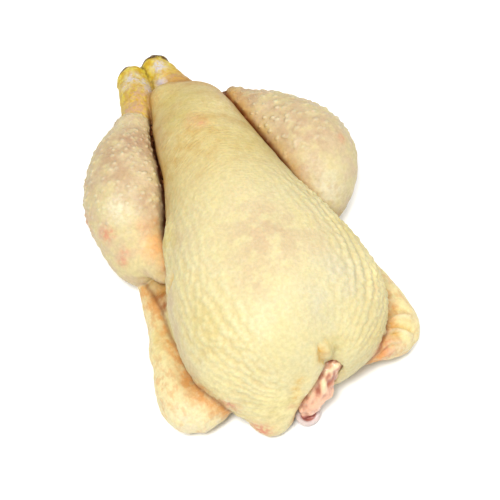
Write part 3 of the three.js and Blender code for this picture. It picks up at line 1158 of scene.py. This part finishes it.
FOLDS = (
    Fold(((-66.5, -46, 42), (-65, -45, 56), (-61, -44, 67)), -2.8, 3.0),
    Fold(((-70, -24, 24), (-64, -28, 30), (-58, -34, 36)), -1.8, 2.4),
    Fold(((-0.5, -126, 71), (-1, -128.5, 67.5), (-1.5, -131, 62.5), (2, -131, 57)), -2.0, 1.6),
    Fold(((3.5, -127.5, 66.5), (5, -129.5, 60)), 2.8, 3.2),
    Fold(((5, -124, 71.5), (9, -127, 66), (12, -128.5, 58)), -1.3, 1.6),
    Fold(((-4, -127, 68), (-5, -133, 60), (-9, -137, 50), (-14, -139, 42)), 1.4, 3.0),
    Fold(((-18, -140, 42), (-20, -142, 32), (-24, -143, 22)), 1.2, 3.0),
    Fold(((64, -99, 28), (69.3, -100.5, 26.7), (74, -105, 23)), -2.2, 1.6),
    Fold(((53, -113, 36), (60, -112, 31), (66.1, -113.6, 28), (70, -117, 25)), -2.6, 1.8),
    Fold(((56, -108, 34), (65, -106, 28.5), (72.1, -109.2, 25.8)), 1.7, 2.0),
    Fold(((49.5, -120.3, 34.2), (56.8, -117.5, 30.9), (62, -118, 27.5)), -2.6, 1.8),
    Fold(((51, -117, 34), (60.3, -114.9, 30.4), (68, -120, 24)), 1.5, 2.0),
    Fold(((39.3, -127.4, 30.4), (51.5, -122.5, 30), (60, -122, 25)), 1.5, 1.8),
    Fold(((43.9, -127.7, 23.6), (54.1, -124.9, 26.9), (62, -124, 21)), 1.5, 1.8),
    Fold(((42, -127.5, 27), (53, -123.6, 28.4), (60, -123, 23)), -1.8, 1.4),
    Fold(((61, -90, 27), (66, -88, 27.5), (73, -91, 23)), -1.5, 1.6),
    Fold(((61, -94, 28), (67, -93, 27.5), (73, -97, 23)), 1.3, 2.0),
    Fold(((-72.7, -15.1, 27.9), (-67.1, -18.7, 29.4), (-62.4, -29.8, 33.1)), -1.6, 1.6),
    Fold(((-64.5, -22, 40), (-61, -27, 45), (-58, -33, 52)), -1.8, 1.6),
    Fold(((-68, -100, 59), (-63.5, -99.8, 67), (-58, -105, 69)), -1.2, 3.0),
    Fold(((-53, -124, 42), (-60, -122, 39), (-66, -117, 37)), 1.4, 2.0),
    Fold(((-46, 86, 46), (-42, 89, 54), (-35.5, 91, 57), (-27, 92, 54)), 1.0, 1.6),
    Fold(((-14, 50, 80), (-6, 42, 84.5), (4, 40, 85.5)), -0.5, 1.8),
    Fold(((-12, 46, 81), (-4, 38, 85.5), (6, 37, 86)), 0.4, 1.6),
)


@dataclass(frozen=True)
class RawNeck:
    """The raw end of the neck with its lumps of fat and the ring of the windpipe at the tip."""

    spine: Limb = Limb((Knot(10, -109, 38.5, 10.5), Knot(6.5, -120.5, 37, 10), Knot(-0.5, -128.5, 28, 10.3),
                        Knot(-8.5, -132, 19, 8.8), Knot(-10.5, -134.5, 5.2, 4.8)))
    lumps: tuple[Knot, ...] = (Knot(5, -130, 37, 4.5), Knot(8, -126, 31, 4.5), Knot(10.5, -126.5, 41, 6),
                               Knot(-3, -135, 29, 4),
                               Knot(2, -135, 24, 4), Knot(-8, -138.5, 20, 3.5))
    ring_at: Triple = (-10.5, -136.0, 9.0)
    ring: float = 6.6
    wall: float = 1.8
    tilt: float = 2.2
    run: Triple = (-0.42, -0.37, -0.83)
    drawn: float = 0.4
    lobe_size: float = 3.2
    lobe_rise: float = 1.7
    strand_size: float = 1.7
    strand_rise: float = 0.5
    edge: Fade = Fade(1.2, 0.2)
    hollow: Fade = Fade(6.2, 4.8)
    fatty: Fade = Fade(29.0, 41.0)
    net: Net = Net((-28, -152, -4), (28, -92, 56), 0.85)

    def ring_distance(self, p: Points) -> np.ndarray:
        """Measure to the windpipe's ring.

        Args:
            p: Places, one row each.

        Returns:
            Distances, negative inside.
        """
        off = p - np.array(self.ring_at)
        c, s = math.cos(self.tilt), math.sin(self.tilt)
        v = off[:, 1] * c + off[:, 2] * s
        w = off[:, 2] * c - off[:, 1] * s
        return np.hypot(np.hypot(off[:, 0], w) - self.ring, v) - self.wall

    def distance(self, p: Points) -> np.ndarray:
        """Measure to the neck's flesh."""
        lumps = np.min([np.linalg.norm(p - k.at, axis=1) - k.r for k in self.lumps], axis=0)
        return join(join(self.spine.distance(p), lumps, 2.0), self.ring_distance(p), 1.5)

    def build(self, shift: np.ndarray) -> bpy.types.Object:
        """Make and dress the neck.

        Args:
            shift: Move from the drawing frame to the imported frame, in millimetres.

        Returns:
            The piece.
        """
        points, faces, normals = self.net.surface(self.distance)
        mottle = Mottle(5)
        run = np.array(self.run)
        strands = points - self.drawn * (points @ run)[:, None] * run
        lobe = mottle.at(strands, self.lobe_size) * self.lobe_rise
        lobe = lobe + mottle.at(strands, self.strand_size) * self.strand_rise
        rim = self.edge.at(self.ring_distance(points))
        inside = self.hollow.at(np.linalg.norm(points - np.array(self.ring_at), axis=1))
        points = points + normals * (lobe * (1 - rim))[:, None]
        points[:, 2] = np.maximum(points[:, 2], 0.0)
        fat = self.fatty.at(points[:, 2] + mottle.at(points, 4.5) * 5.0)
        masks = {"fat": fat, "rim": rim, "inside": inside, "lobe": lobe}
        piece = to_object("neck", (points + shift) * MM, faces, masks)
        piece.data.materials.append(FleshFinish().material())
        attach(piece, "root")
        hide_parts("neck_flesh")
        return piece


@dataclass(frozen=True)
class Crack:
    """The crack between the legs and the trunk: its cut, and the painted shade of its dark line and of the
    warm band beside it.
    """

    depth: float = 2.8
    width: float = 2.0
    soft: float = 2.5
    floor: Fade = Fade(18, 34)
    closing: Fade = Fade(104, 76)
    shut: float = 0.25
    gape_across: Fade = Fade(0, -20)
    gape_along: tuple[Fade, Fade] = (Fade(-6, 10), Fade(80, 60))
    gape_width: float = 0.3
    line: float = 3.5
    line_gape: float = 0.4
    line_under: float = 3.2
    ragged_size: float = 5.0
    ragged: float = 1.3
    under_across: Fade = Fade(0, 20)
    under_along: tuple[Fade, Fade] = (Fade(-10, 20), Fade(80, 50))
    line_floor: Fade = Fade(22, 36)
    line_end: Fade = Fade(104, 80)
    line_faint: float = 0.3
    knee: Fade = Fade(0, -20)
    knee_pale: float = 0.6
    warm_shade_width: float = 14.0
    warm_shade_floor: Fade = Fade(16, 30)
    warm_shade_less: float = 0.75

    def gape(self, p: Points) -> np.ndarray:
        """Say where the left leg stands off from the trunk."""
        start, end = self.gape_along
        return self.gape_across.at(p[:, 0]) * start.at(p[:, 1]) * end.at(p[:, 1])

    def cut(self, p: Points, trunk: np.ndarray, limbs: np.ndarray) -> np.ndarray:
        """Join the legs to the trunk and cut the crack between them.

        Args:
            p: Places, one row each.
            trunk: Distances to the trunk and wings.
            limbs: Distances to the legs.

        Returns:
            Distances to all of them.
        """
        gape = self.gape(p)
        near = (trunk - limbs) / (self.width * (1 + self.gape_width * gape))
        valley = np.exp(-near ** 2) * self.floor.at(p[:, 2])
        valley = valley * (self.shut + (1 - self.shut) * self.closing.at(p[:, 1]))
        return join(trunk, limbs, self.soft) + self.depth * (1 + gape) * valley

    def masks(self, p: Points, body: np.ndarray, limbs: np.ndarray, leg: np.ndarray) -> dict[str, np.ndarray]:
        """Say how strong the painted shade is: the crack's dark line and the warm band beside it.

        Args:
            p: Vertices.
            body: Distances to the trunk.
            limbs: Distances to the legs.
            leg: How much each vertex belongs to a leg.

        Returns:
            Values by name.
        """
        near = np.abs(body - limbs) + np.maximum(np.maximum(body, limbs), 0)
        left = p[:, 0] < 0
        start, end = self.under_along
        under = leg * self.under_across.at(p[:, 0]) * start.at(p[:, 1]) * end.at(p[:, 1])
        ragged = Mottle(6).at(p, self.ragged_size) * self.ragged
        line = self.line + self.line_gape * self.gape(p) + ragged + self.line_under * under
        # painted shade: a dark line along the crack
        dark = np.exp(-(near / line) ** 4) * self.line_floor.at(p[:, 2])
        dark = dark * (self.line_faint + (1 - self.line_faint) * self.line_end.at(p[:, 1]))
        dark = dark * (1 - self.knee_pale * self.knee.at(p[:, 1]) * left)
        # painted shade: a warm band on the skin beside the crack
        warm_shade = np.exp(-(near / self.warm_shade_width) ** 2) * self.warm_shade_floor.at(p[:, 2])
        return {"crease_shade": dark, "warm_shade": warm_shade * (1 - self.warm_shade_less * leg * left)}


@dataclass(frozen=True)
class Plumage:
    """What the plucked feathers leave in the skin: cushions in rows on the breast, papules elsewhere."""

    rows: Follicles = Follicles(6.2, 4.6, 0.5, 11, 0.12, 1.35)
    papules: Follicles = Follicles(5.8, 4.8, 0.75, 12)
    girth: float = 58.0
    apart: float = 1000.0
    axis_height: float = 40.0
    sweep: float = 0.35
    front: Fade = Fade(-85, -125)
    front_drop: float = 0.4
    front_height: float = 95.0
    wander_size: float = 18.0
    wander: tuple[float, float] = (2.2, 1.5)
    leg_reach: float = 12.0
    calm: Fade = Fade(0.5, 4.0)
    tract: Fade = Fade(30, -30)
    tract_side: Fade = Fade(12, 38)
    tract_middle: float = 0.3
    cushion_size: float = 2.0
    papule_size: float = 1.2
    papule_spread: float = 0.5
    papule_far: float = 4.0
    missing: float = 0.2
    missing_far: float = 3.0
    bumpy: Fade = Fade(-4, 34)
    tract_on_wing: float = 0.6
    tract_under_beige: float = 0.8
    tract_patch: float = 26.0
    tract_patchy: tuple[float, float] = (0.75, 0.45)
    bumpy_patch: float = 12.0
    bumpy_patchy: tuple[float, float] = (0.75, 0.5)
    cushion_least: float = 0.6

    def grain(self, p: Points, body: np.ndarray, legs: tuple[Leg, ...]) -> tuple[np.ndarray, np.ndarray]:
        """Lay the skin's pattern round and along the trunk and each leg.

        Args:
            p: Vertices.
            body: Distances to the trunk.
            legs: The legs.

        Returns:
            Rows of round, along and zero, and how calm the skin is between two patterns.
        """
        x = p[:, 0] - MIDLINE
        turn = np.arctan2(x, p[:, 2] - self.axis_height)
        drop = self.front.at(p[:, 1]) * (p[:, 2] - self.front_height) * self.front_drop
        run = p[:, 1] + np.abs(x) * self.sweep + drop
        grain = np.stack([turn * self.girth + self.apart, run, np.zeros(len(p))], 1)
        grain[:, :2] += Mottle(9).at(p, self.wander_size)[:, None] * self.wander
        calm = np.ones(len(p))
        for leg in legs:
            near = leg.distance(p)
            mine = (near < body) & (near < self.leg_reach)
            grain[mine] = leg.grain(p[mine])
            calm = np.minimum(calm, self.calm.at(np.abs(near - body)))
        return grain, calm

    def masks(self, p: Points, grain: np.ndarray, leg: np.ndarray, hock: np.ndarray,
              wing: np.ndarray) -> dict[str, np.ndarray]:
        """Say where cushions and papules are.

        Args:
            p: Vertices.
            grain: The skin's pattern.
            leg: How much each vertex belongs to a leg.
            hock: How much to a hock.
            wing: How much to a wing.

        Returns:
            Values by name.
        """
        side = self.tract_side.at(np.abs(p[:, 0] - MIDLINE))
        tract = self.tract.at(p[:, 1]) * (self.tract_middle + (1 - self.tract_middle) * side)
        level, swing = self.tract_patchy
        tract = tract * (1 - leg) * (1 - wing * (1 - self.tract_on_wing))
        tract = tract * (level + swing * Mottle(7).at(p, self.tract_patch))
        tract = tract * (1 - self.tract_under_beige * STAINS_AND_PAINTED_LIGHT[0].mask(p))
        level, swing = self.bumpy_patchy
        bumpy = leg * (1 - hock) * self.bumpy.at(p[:, 1])
        bumpy = bumpy * (level + swing * Mottle(8).at(p, self.bumpy_patch))
        square, chance = self.rows.nearest(grain)
        cushion = np.exp(-square / self.cushion_size ** 2)
        cushion = cushion * (self.cushion_least + (1 - self.cushion_least) * chance)
        square, chance = self.papules.nearest(grain)
        across = self.papule_size + self.papule_spread * chance
        papule = np.minimum(square / across ** 2, self.papule_far)
        papule = papule + self.missing_far * (chance < self.missing)
        return {"bumpy": bumpy, "tract": tract, "cushion": cushion, "papule": papule}


@dataclass(frozen=True)
class Edges:
    """Where the skin's parts meet, and how far their edges, folds and seams are coloured, with painted shade
    in the wing's tuck and the split between the hocks.
    """

    leg: Fade = Fade(-1.5, 1.5)
    hock: Fade = Fade(-0.5, 1.2)
    wing: Fade = Fade(-2.0, 2.0)
    tuck_width: float = 2.6
    tuck_depth: float = 0.7
    tuck_floor: Fade = Fade(15, 24)
    under: Fade = Fade(9.0, 0.5)
    lip: Fade = Fade(9.5, 2.5)
    lip_across: Fade = Fade(14, 6)
    lip_above: Fade = Fade(3, 12)
    lip_below: Fade = Fade(54, 44)
    split_width: float = 2.4
    belly: Fade = Fade(-45, 40)
    groove: Fade = Fade(0.5, 2.4)
    ridge: Fade = Fade(0.5, 1.7)
    ridge_below: Fade = Fade(66, 50)

    def masks(self, p: Points, body: np.ndarray, wings: np.ndarray, notch: np.ndarray,
              hocks: list[np.ndarray]) -> dict[str, np.ndarray]:
        """Say where the skin is coloured along its edges, folds and seams, and where painted shade darkens
        the wing's tuck and the hocks' split.

        Args:
            p: Vertices.
            body: Distances to the trunk.
            wings: Distances to the wings.
            notch: Distances to the gap beside the neck skin.
            hocks: Distances to the two hocks.

        Returns:
            Values by name.
        """
        by_wing = np.abs(body - wings) + np.maximum(body, wings)
        by_hock = np.abs(hocks[0] - hocks[1]) + np.maximum(*hocks)
        front = self.lip_below.at(p[:, 2]) * self.lip_above.at(p[:, 2]) * self.lip_across.at(p[:, 0])
        lifts = [fold.lift(p) for fold in FOLDS]
        return {
            # painted shade: a dark line where the wings tuck against the body
            "wing_tuck_shade": np.exp(-(by_wing / self.tuck_width) ** 2) * self.tuck_floor.at(p[:, 2]) * self.tuck_depth,
            "rimmed": self.lip.at(notch) * front,
            # painted shade: a dark line where the two hocks touch
            "split_shade": np.exp(-(by_hock / self.split_width) ** 2),
            "groove": self.groove.at(-np.min(lifts, axis=0)),
            "ridge": self.ridge.at(np.max(lifts, axis=0)) * self.ridge_below.at(p[:, 2]),
        }


@dataclass(frozen=True)
class Swell:
    """Random swells of one size and height, which may be squeezed along an axis."""

    size: float
    height: float
    squeeze: Triple = (1.0, 1.0, 1.0)

    def at(self, p: Points, mottle: Mottle) -> np.ndarray:
        """Read their height."""
        return mottle.at(p * self.squeeze, self.size) * self.height


@dataclass(frozen=True)
class Relief:
    """How far each part of the skin rises and sinks over its smooth form."""

    everywhere: tuple[Swell, Swell] = (Swell(24.0, 0.7), Swell(9.0, 0.25))
    on_wing: tuple[Swell, Swell] = (Swell(5.0, 0.75, (1.0, 0.7, 1.0)), Swell(12.0, 0.6))
    on_hock: tuple[Swell, Swell] = (Swell(4.0, 0.6), Swell(8.0, 0.5))
    on_ragged: tuple[Swell, Swell] = (Swell(2.8, 0.9), Swell(6.0, 0.8))
    ragged_edge: tuple[Fade, Fade] = (Fade(11.0, 4.0), Fade(-88, -98))
    cushion_rise: float = 1.1
    furrow_sink: float = 0.3
    papule_rise: float = 1.1
    pore_rise: float = 0.12
    margin_across: Fade = Fade(36, 46)
    margin_along: tuple[Fade, Fade] = (Fade(-10, -30), Fade(-125, -100))
    margin_pitch: float = 5.2
    margin_rise: float = 0.22
    margin_stray: Swell = Swell(16.0, 2.5)
    margin_cushion: float = 0.9

    def lift(self, p: Points, masks: dict[str, np.ndarray], by_wing: np.ndarray) -> np.ndarray:
        """Add up the swells, cushions, papules and margins.

        Args:
            p: Vertices.
            masks: What each vertex belongs to.
            by_wing: Distances to the left wing.

        Returns:
            Heights.
        """
        mottle = Mottle(3)

        def swells(pair: tuple[Swell, Swell]) -> np.ndarray:
            """Add two swells."""
            return pair[0].at(p, mottle) + pair[1].at(p, mottle)

        hock, wing, cushion = masks["hock"], masks["wing"], masks["cushion"]
        lift = swells(self.everywhere)
        lift += masks["tract"] * (cushion * self.cushion_rise - self.furrow_sink)
        lift += np.exp(-masks["papule"]) * (masks["bumpy"] * self.papule_rise + self.pore_rise * (1 - hock))
        lift += wing * swells(self.on_wing)
        near, front = self.ragged_edge
        lift += (1 - wing) * near.at(by_wing) * front.at(p[:, 1]) * swells(self.on_ragged)
        lift += hock * swells(self.on_hock)
        start, end = self.margin_along
        margin = self.margin_across.at(p[:, 0] - MIDLINE) * start.at(p[:, 1]) * end.at(p[:, 1]) * (1 - wing)
        turn = masks["grain"][:, 0] / self.margin_pitch * math.tau + self.margin_stray.at(p, mottle)
        ripple = np.sin(turn) * self.margin_rise + (cushion - self.furrow_sink) * self.margin_cushion
        return lift + margin * ripple


@dataclass(frozen=True)
class Bird:
    """The skin-covered bird."""

    trunk: Trunk = Trunk()
    legs: tuple[Leg, ...] = (LEFT_LEG, RIGHT_LEG)
    wings: tuple[Limb, ...] = (LEFT_WING, RIGHT_WING)
    flanks: tuple[Limb, ...] = (LEFT_FLANK, RIGHT_FLANK)
    web: Limb = KNEE_WEB
    rim: Limb = BREAST_RIM
    corner: Limb = Limb((Knot(-4, 82, 46, 15), Knot(-7, 97.5, 45, 13.5)))
    lobe: Limb = Limb((Knot(-20, -105.5, 57, 24), Knot(-29, -114.5, 31.5, 22), Knot(-32, -129.5, 12, 13.5)))
    notch: Limb = Limb((Knot(8, -131.5, 56, 3.5), Knot(3.5, -134.5, 37, 9.5), Knot(-3.5, -139, 22, 12.5),
                        Knot(-8, -150, 5.5, 12)))
    notch_soft: float = 6.5
    tail: Limb = Limb((Knot(-3.5, 80.5, 16.5, 18.5), Knot(-2.5, 100.5, 15.5, 11),
                       Knot(-2.5, 115.5, 18.5, 6.5)))
    vent: Limb = Limb((Knot(-14.5, 110, 40.5, 3), Knot(-1.5, 108, 37, 3.5), Knot(11.5, 110, 40.5, 3)))
    neck: RawNeck = RawNeck()
    neck_gap: float = 0.1
    net: Net = Net((-108, -158, -14), (108, 158, 112), 1.38)
    crack: Crack = Crack()
    plumage: Plumage = Plumage()
    edges: Edges = Edges()
    uneven: Relief = Relief()
    lobe_soft: float = 16.0
    tail_soft: float = 8.0
    flank_soft: float = 10.0
    rim_soft: float = 5.0
    vent_soft: float = 6.0
    wing_soft: float = 2.2
    web_soft: float = 5.0
    relief_start: Fade = Fade(0.3, 3.0)

    def body(self, p: Points) -> np.ndarray:
        """Measure to the trunk with its neck skin, tail and flanks.

        Args:
            p: Places, one row each.

        Returns:
            Distances, negative inside.
        """
        d = join(self.trunk.distance(p), self.lobe.distance(p), self.lobe_soft)
        d = join(d, self.tail.distance(p), self.tail_soft)
        d = join(d, self.corner.distance(p), self.tail_soft)
        d = join(d, np.min([flank.distance(p) for flank in self.flanks], axis=0), self.flank_soft)
        d = join(d, self.rim.distance(p), self.rim_soft)
        d = -join(-d, self.vent.distance(p), self.vent_soft)
        return -join(-d, self.notch.distance(p), self.notch_soft)

    def limbs(self, p: Points) -> np.ndarray:
        """Measure to the legs and hocks."""
        d = np.min([leg.distance(p) for leg in self.legs], axis=0)
        return join(d, self.web.distance(p), self.web_soft)

    def distance(self, p: Points) -> np.ndarray:
        """Measure to the whole skin.

        Args:
            p: Places, one row each.

        Returns:
            Distances, negative inside.
        """
        d = self.body(p)
        for wing in self.wings:
            d = join(d, wing.distance(p), self.wing_soft)
        d = self.crack.cut(p, d, self.limbs(p))
        return np.maximum(d, self.neck_gap - self.neck.distance(p))

    def masks(self, p: Points) -> dict[str, np.ndarray]:
        """Say which part of the skin each vertex belongs to.

        Args:
            p: Vertices.

        Returns:
            Values by name.
        """
        body, limbs = self.body(p), self.limbs(p)
        wings = np.min([wing.distance(p) for wing in self.wings], axis=0)
        bulbs = np.min([one.bulb.distance(p) for one in self.legs], axis=0)
        hocks = [one.hock.distance(p) for one in self.legs]
        leg = self.edges.leg.at(body - limbs)
        hock = self.edges.hock.at(bulbs - np.minimum(*hocks)) * leg
        wing = self.edges.wing.at(np.minimum(body, limbs) - wings)
        # under: the wings' orange, deepened as painted shade near the body
        found = {"leg": leg, "hock": hock, "wing": wing, "under": wing * self.edges.under.at(body),
                 "belly": self.edges.belly.at(p[:, 1]) * (1 - wing),
                 "brink": np.max([one.hock.brink(p) for one in self.legs], axis=0)}
        found.update(self.crack.masks(p, body, limbs, leg))
        found["grain"], found["calm"] = self.plumage.grain(p, body, self.legs)
        found.update(self.plumage.masks(p, found["grain"], leg, hock, wing))
        found.update(self.edges.masks(p, body, wings, self.notch.distance(p), hocks))
        # the painted shade of the crack and of the wings' tuck share one mask
        found["crease_shade"] = np.maximum(found["crease_shade"], found.pop("wing_tuck_shade"))
        found.update({patch.name: patch.mask(p) for patch in STAINS_AND_PAINTED_LIGHT + HOCK_STAINS})
        return found

    def relief(self, p: Points, masks: dict[str, np.ndarray]) -> np.ndarray:
        """Work out how far the skin rises or sinks.

        Args:
            p: Vertices.
            masks: What each vertex belongs to.

        Returns:
            Heights.
        """
        lift = self.uneven.lift(p, masks, self.wings[0].distance(p))
        for fold in FOLDS:
            lift += fold.lift(p)
        return lift * self.relief_start.at(self.neck.distance(p))

    def build(self) -> tuple[bpy.types.Object, np.ndarray]:
        """Make and dress the skin.

        Returns:
            The piece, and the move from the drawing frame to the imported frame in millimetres.
        """
        points, faces, normals = self.net.surface(self.distance)
        masks = self.masks(points)
        points = points + normals * self.relief(points, masks)[:, None]
        low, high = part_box("skin_covered_bird")
        packed = (np.array(low) + np.array(high)) / 2 / MM
        shift = packed - (points.min(0) + points.max(0)) / 2
        shift[2] = 0.0
        points[:, 2] = np.maximum(points[:, 2], 0.0)
        piece = to_object("skin", (points + shift) * MM, faces, masks)
        piece.data.materials.append(SkinFinish().material())
        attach(piece, "root")
        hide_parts("skin_covered_bird")
        return piece, shift


@dataclass(frozen=True)
class Studio:
    """White sweep, broad soft light from above the neck end, and the camera."""

    azimuth: float = -24.0
    elevation: float = 57.0
    distance: float = 984.4
    target: Triple = (-2.0, -29.6, 37.0)
    lens: float = 110.06
    floor_half: float = 2.5
    floor_white: float = 0.96
    sky: float = 0.5
    sensor: float = 36.0
    far: float = 20.0
    key: tuple[Triple, float, float] = ((-0.42, -0.5, 1.3), 0.35, 18.8)
    top: tuple[Triple, float, float] = ((0.4, -0.1, 1.3), 0.8, 9.1)
    aim: Triple = (0.0, 0.0, 0.04)

    def camera(self) -> None:
        """Place the camera."""
        a, e = math.radians(self.azimuth), math.radians(self.elevation)
        back = Vector((math.sin(a) * math.cos(e), -math.cos(a) * math.cos(e), math.sin(e)))
        lens = bpy.data.cameras.new("camera")
        lens.lens = self.lens
        lens.sensor_width = self.sensor
        lens.clip_end = self.far
        made = bpy.data.objects.new("camera", lens)
        made.location = Vector(self.target) * MM + back * self.distance * MM
        made.rotation_euler = back.to_track_quat("Z", "Y").to_euler()
        bpy.context.scene.collection.objects.link(made)
        bpy.context.scene.camera = made

    def light(self, name: str, place: Triple, size: float, power: float) -> None:
        """Hang a square soft light that faces the bird.

        Args:
            name: The light's name.
            place: Where it hangs, in metres.
            size: Its side, in metres.
            power: Its power in watts.
        """
        lamp = bpy.data.lights.new(name, "AREA")
        lamp.size = size
        lamp.energy = power
        made = bpy.data.objects.new(name, lamp)
        made.location = place
        made.rotation_euler = (Vector(place) - Vector(self.aim)).to_track_quat("Z", "Y").to_euler()
        bpy.context.scene.collection.objects.link(made)

    def floor(self) -> None:
        """Lay the pale floor."""
        h = self.floor_half
        mesh = bpy.data.meshes.new("floor")
        mesh.from_pydata([(-h, -h, 0), (h, -h, 0), (h, h, 0), (-h, h, 0)], [], [(0, 1, 2, 3)])
        made = bpy.data.objects.new("floor", mesh)
        bpy.context.scene.collection.objects.link(made)
        g = Graph("floor")
        white = (self.floor_white, self.floor_white, self.floor_white, 1.0)
        mesh.materials.append(g.finish({"Base Color": white, "Roughness": 0.9, "Specular IOR Level": 0.1}))

    def build(self) -> None:
        """Set the stage."""
        world = bpy.data.worlds.new("studio")
        world.use_nodes = True
        world.node_tree.nodes["Background"].inputs["Color"].default_value = (1, 1, 1, 1)
        world.node_tree.nodes["Background"].inputs["Strength"].default_value = self.sky
        bpy.context.scene.world = world
        bpy.context.scene.view_settings.view_transform = "Standard"
        self.floor()
        self.light("key", *self.key)
        self.light("top", *self.top)
        self.camera()


def main() -> None:
    """Build the bird, its raw neck and the studio."""
    logging.basicConfig(level=logging.INFO)
    bird = Bird()
    skin, shift = bird.build()
    LOG.info("%s: %d faces, moved %s mm", skin.name, len(skin.data.polygons), np.round(shift, 2))
    neck = bird.neck.build(shift)
    LOG.info("%s: %d faces", neck.name, len(neck.data.polygons))
    Studio().build()


if __name__ == "__main__":
    main()
